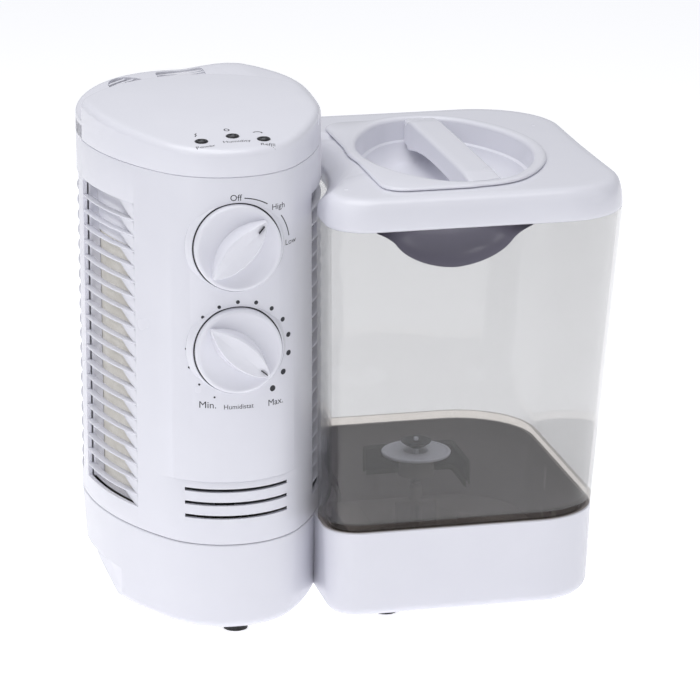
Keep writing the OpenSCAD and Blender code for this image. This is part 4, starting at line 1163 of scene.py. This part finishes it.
def facing(points, count=LID_COUNT):
    """A closed line's points in even directions round the bowl's centre, so that two lines pair up."""
    polar = sorted((math.atan2(y - BOWL_Y, x - BOWL_X), x, y) for x, y in points)
    polar = [(a - math.tau, x, y) for a, x, y in polar[-3:]] + polar + [(a + math.tau, x, y) for a, x, y in polar[:3]]
    out, at = [], 0
    for k in range(count):
        want = -math.pi + math.tau * (k + 0.5) / count
        while polar[at + 1][0] < want:
            at += 1
        (a, x0, y0), (b, x1, y1) = polar[at], polar[at + 1]
        t = (want - a) / (b - a)
        out.append((x0 + (x1 - x0) * t, y0 + (y1 - y0) * t))
    return out


def lid_height(x, y, z):
    """The height z, held down near the tower where the lid falls away."""
    trough = 261.5 + 0.86 * max(0.0, tower.beyond(x, y) - TOWER_GAP)
    return z - (z - trough + math.sqrt((z - trough) ** 2 + 2.0)) / 2 if trough < z + 12 else z


LID_OUT = facing(tank_plan(LID_Z, 0.0, 900))
LID_IN = facing(bowl.outline(3.2, 900))
rim = [math.dist(a, b) for a, b in zip(LID_OUT, LID_IN)]


def lid_ring(inset, z):
    """A ring inset from the lid's outline, at a height that the trough may hold down."""
    points = [between(a, b, min(inset / d, 0.97)) for a, b, d in zip(LID_OUT, LID_IN, rim)]
    return points, [lid_height(*p, z) for p in points]


hole = [(LID_IN, [lid_height(*p, z) for p in LID_IN]) for z in (LID_TOP - 1.0, 268.0, 262.0, LID_Z + 2.6)]
skirt = [lid_ring(0.7, LID_Z), lid_ring(0.1, LID_Z + 0.6), lid_ring(0.0, LID_Z + 2.5), lid_ring(0.5, 262.0),
         lid_ring(1.6, 266.5), lid_ring(2.9, 269.3), lid_ring(4.6, 271.1), lid_ring(7.0, 272.1),
         lid_ring(10.5, LID_TOP), lid_ring(16.0, LID_TOP), lid_ring(24.0, LID_TOP)]
crown = [(LID_IN, [lid_height(*p, LID_TOP) for p in LID_IN])]
inner_ring = [(LID_IN, LID_Z + 0.6), ([between(a, b, min(3.4 / d, 0.5)) for a, b, d in zip(LID_OUT, LID_IN, rim)],
                                      LID_Z)]
lid = stacked(skirt + crown + hole + inner_ring, closed=True)
piece("tank_lid_top", lid, white_abs, "tank", ["tank_lid"], crease=42)


# Cap plate. The flat white flange of the lift-out cap: it lies on the lid, waisted beside the tower, with a soft
# outer edge, a thin seam under it, and a bead that rolls over into the bowl.
CAP_TOP = box_mm("cap_plate")[1].z


def rounded_box_beyond(x, y, low, high, r):
    cx, cy = (low[0] + high[0]) / 2, (low[1] + high[1]) / 2
    dx, dy = abs(x - cx) - (high[0] - low[0]) / 2 + r, abs(y - cy) - (high[1] - low[1]) / 2 + r
    return math.hypot(max(dx, 0), max(dy, 0)) + min(max(dx, dy), 0) - r


def cap_reach(a):
    """How far the flange runs from the bowl's centre in direction a."""
    best = 0.0
    c, s = math.cos(a), math.sin(a)
    for k in range(56, 1150):
        d = k * 0.1
        x, y = BOWL_X + d * c, BOWL_Y + d * s
        inside = bowl.beyond(x, y) < 8.0 or rounded_box_beyond(x, y, (6.0, -95.0), (74.0, 86.0), 15.0) < 0
        if inside and tower.beyond(x, y) > TOWER_GAP + 13.6:
            best = d
    return best


plan = [cap_reach(-math.pi + math.tau * (k + 0.5) / LID_COUNT) for k in range(LID_COUNT)]
for _ in range(3):
    plan = [(plan[i - 1] + plan[i] * 2 + plan[(i + 1) % LID_COUNT]) / 4 for i in range(LID_COUNT)]
angles = [-math.pi + math.tau * (k + 0.5) / LID_COUNT for k in range(LID_COUNT)]
CAP_OUT = [(BOWL_X + d * math.cos(a), BOWL_Y + d * math.sin(a)) for a, d in zip(angles, plan)]


def bowl_ring(grow):
    return facing(bowl.outline(grow, 900))


def cap_ring(inset):
    """A ring inset from the flange's outline towards the bowl."""
    return [between(a, b, min(inset / math.dist(a, b), 0.9)) for a, b in zip(CAP_OUT, bowl_ring(0.0))]


flange = stacked([(cap_ring(1.6), LID_TOP + 0.02), (cap_ring(1.5), LID_TOP + 0.5), (cap_ring(0.4), LID_TOP + 0.6),
                  (cap_ring(0.0), LID_TOP + 1.0), (cap_ring(0.3), LID_TOP + 1.7), (cap_ring(1.2), LID_TOP + 2.3),
                  (cap_ring(2.4), CAP_TOP), (bowl_ring(4.6), CAP_TOP - 0.02), (bowl_ring(3.6), CAP_TOP + 0.0),
                  (bowl_ring(2.0), CAP_TOP - 0.1), (bowl_ring(0.9), CAP_TOP - 0.7), (bowl_ring(0.2), CAP_TOP - 1.6),
                  (bowl_ring(0.0), LID_TOP + 0.02)], closed=True)
piece("cap_plate_flange", flange, white_abs, "cap", ["cap_plate"], crease=50)


# Cap bowl. The white well that hangs from the flange, deep enough for fingers round the handle, with a step in
# its wall where the upper and lower parts of the moulding meet. A black rubber ring seals it in the lid.
BOWL_FLOOR = box_mm("cap_bowl")[0].z
well = stacked([(bowl_ring(-32.0), BOWL_FLOOR), (bowl_ring(-14.0), BOWL_FLOOR), (bowl_ring(-10.2), BOWL_FLOOR + 0.8),
                (bowl_ring(-6.5), 250.0), (bowl_ring(-2.6), 255.0), (bowl_ring(-0.4), 258.6), (bowl_ring(2.0), 260.0),
                (bowl_ring(2.0), LID_TOP - 0.02), (bowl_ring(0.0), LID_TOP - 0.02), (bowl_ring(-0.9), 266.0),
                (bowl_ring(-1.6), 261.0), (bowl_ring(-2.4), 260.4), (bowl_ring(-3.4), 260.0),
                (bowl_ring(-4.6), 256.5), (bowl_ring(-8.0), 252.0), (bowl_ring(-12.2), 249.2),
                (bowl_ring(-16.0), BOWL_FLOOR + 2.4), (bowl_ring(-22.0), BOWL_FLOOR + 2.2),
                (bowl_ring(-32.0), BOWL_FLOOR + 2.2)])
piece("cap_bowl_well", well, white_abs, "cap", ["cap_bowl"], crease=35)
ring_seal = stacked([(bowl_ring(2.05), LID_Z + 5.1), (bowl_ring(3.0), LID_Z + 5.1), (bowl_ring(3.1), LID_Z + 5.8),
                     (bowl_ring(3.1), LID_Z + 7.2), (bowl_ring(3.0), LID_Z + 7.9), (bowl_ring(2.05), LID_Z + 7.9)],
                    closed=True)
piece("cap_seal_ring", ring_seal, black_rubber, "cap", ["cap_seal"])


# Cap handle. A white bar across the bowl, flared at its ends where it meets the wall, slightly crowned along its
# length with a crease near each end, and arched underneath for the fingers.
handle_low, handle_high = box_mm("cap_handle")
HANDLE_X = (handle_low.x + handle_high.x) / 2
HANDLE_HALF, HANDLE_HALF_MAX = 10.3, 10.95


def handle_reach(side, y, end):
    """How far the bar reaches to one side of its middle, kept inside the bowl's wall."""
    reach = min(HANDLE_HALF_MAX, HANDLE_HALF + 0.65 * end)
    while bowl.beyond(HANDLE_X + side * reach, y) > -0.2 and reach > 2.0:
        reach -= 0.1
    return reach


stations = []
STATIONS = 56
for k in range(STATIONS + 1):
    t = k / STATIONS
    y = handle_low.y + 0.5 + (handle_high.y - handle_low.y - 1.0) * t
    s = 2 * t - 1
    end = max(0.0, (abs(s) - 0.80) / 0.20)
    reach, left = handle_reach(1, y, end), handle_reach(-1, y, end)
    top = handle_high.z - 0.1 - 1.5 * max(0.0, abs(s) - 0.78) / 0.22 - 0.35 * s * s
    arch = 262.5 - 9.5 * abs(s) ** 2.6
    arch = max(arch, 250.5 if bowl.beyond(HANDLE_X, y) < -12 else 258.2)
    r = 2.4
    section = [(HANDLE_X - left, arch + 1.2), (HANDLE_X - left + 1.0, arch), (HANDLE_X + reach - 1.0, arch),
               (HANDLE_X + reach, arch + 1.2), (HANDLE_X + reach, top - r)]
    for j in range(1, 6):
        a = math.radians(18 * j)
        section.append((HANDLE_X + reach - r + r * math.cos(a), top - r + r * math.sin(a)))
    section += [(HANDLE_X + reach * 0.4, top + 0.05), (HANDLE_X - left * 0.4, top + 0.05)]
    for j in range(0, 6):
        a = math.radians(90 + 18 * j)
        section.append((HANDLE_X - left + r + r * math.cos(a), top - r + r * math.sin(a)))
    stations.append((section, y))
# built standing up along Z, then laid along Y
bar = stacked([([(x, z) for x, z in section], y) for section, y in stations])
bmesh.ops.transform(bar, verts=bar.verts, matrix=Matrix(((1, 0, 0, 0), (0, 0, 1, 0), (0, 1, 0, 0), (0, 0, 0, 1))))
bmesh.ops.recalc_face_normals(bar, faces=bar.faces)
piece("cap_handle_bar", bar, white_abs, "cap", ["cap_handle"], crease=28)


# Studio. A pale paper floor and soft white light from above, from the left and a little from the right, with
# the camera in front, to the left of the tower and above it.
floor_bm = bmesh.new()
bmesh.ops.create_grid(floor_bm, x_segments=1, y_segments=1, size=3000.0)
floor_mesh = bpy.data.meshes.new("floor")
bmesh.ops.scale(floor_bm, verts=floor_bm.verts, vec=(MM, MM, MM))
floor_bm.to_mesh(floor_mesh)
floor_bm.free()
floor = bpy.data.objects.new("floor", floor_mesh)
bpy.context.scene.collection.objects.link(floor)
floor_paper, tree = new_material("floor_paper_white")
sheet = add_node(tree, "ShaderNodeBsdfDiffuse", {"Color": linear("#F4F4F6")})
glow = add_node(tree, "ShaderNodeEmission", {"Color": linear("#FFFFFF"), "Strength": 0.55})
both = add_node(tree, "ShaderNodeAddShader")
tree.links.new(sheet.outputs[0], both.inputs[0])
tree.links.new(glow.outputs[0], both.inputs[1])
add_node(tree, "ShaderNodeOutputMaterial", {"Surface": both.outputs[0]})
floor_mesh.materials.append(floor_paper)

world = bpy.data.worlds.new("studio")
bpy.context.scene.world = world
world.use_nodes = True
world.node_tree.nodes.clear()
air = add_node(world.node_tree, "ShaderNodeBackground", {"Color": linear("#F6F8FF"), "Strength": 0.38})
add_node(world.node_tree, "ShaderNodeOutputWorld", {"Surface": air.outputs[0]})


def softbox(name, at, towards, size, power, colour="#FFFFFF"):
    lamp = bpy.data.lights.new(name, "AREA")
    lamp.shape, lamp.size, lamp.size_y = "RECTANGLE", size[0], size[1]
    lamp.energy, lamp.color = power, linear(colour)[:3]
    holder = bpy.data.objects.new(name, lamp)
    bpy.context.scene.collection.objects.link(holder)
    holder.location = at
    holder.rotation_euler = (Vector(towards) - Vector(at)).to_track_quat("-Z", "Y").to_euler()


softbox("softbox_overhead", (-0.25, -0.15, 1.5), (0, 0, 0.15), (1.4, 1.2), 12.5)
softbox("softbox_left", (-1.3, -0.9, 0.9), (0, 0, 0.15), (0.9, 1.2), 2.9)
softbox("softbox_right", (1.5, -0.6, 0.8), (0, 0, 0.15), (0.7, 1.2), 1.6)

YAW, PITCH = math.radians(-12.88), math.radians(16.5)
right = Vector((math.cos(YAW), math.sin(YAW), 0))
back = Vector((math.sin(YAW) * math.cos(PITCH), -math.cos(YAW) * math.cos(PITCH), math.sin(PITCH)))
up = Vector((-math.sin(YAW) * math.sin(PITCH), math.cos(YAW) * math.sin(PITCH), math.cos(PITCH)))
aim = Vector((-87, 23.5, 59)) + right * 95.62 + up * 83.65
FOCAL_PX, PICTURE_PX = 4000, 700
distance = 0.64 * FOCAL_PX
camera_data = bpy.data.cameras.new("camera")
camera_data.sensor_width, camera_data.lens = 36.0, FOCAL_PX / PICTURE_PX * 36
camera_data.clip_end = 50.0
camera = bpy.data.objects.new("camera", camera_data)
bpy.context.scene.collection.objects.link(camera)
camera.matrix_world = (Matrix.Translation((aim + back * distance) * MM)
                       @ Matrix((right, up, back)).transposed().to_4x4())
bpy.context.scene.camera = camera
bpy.context.scene.view_settings.view_transform = "Standard"
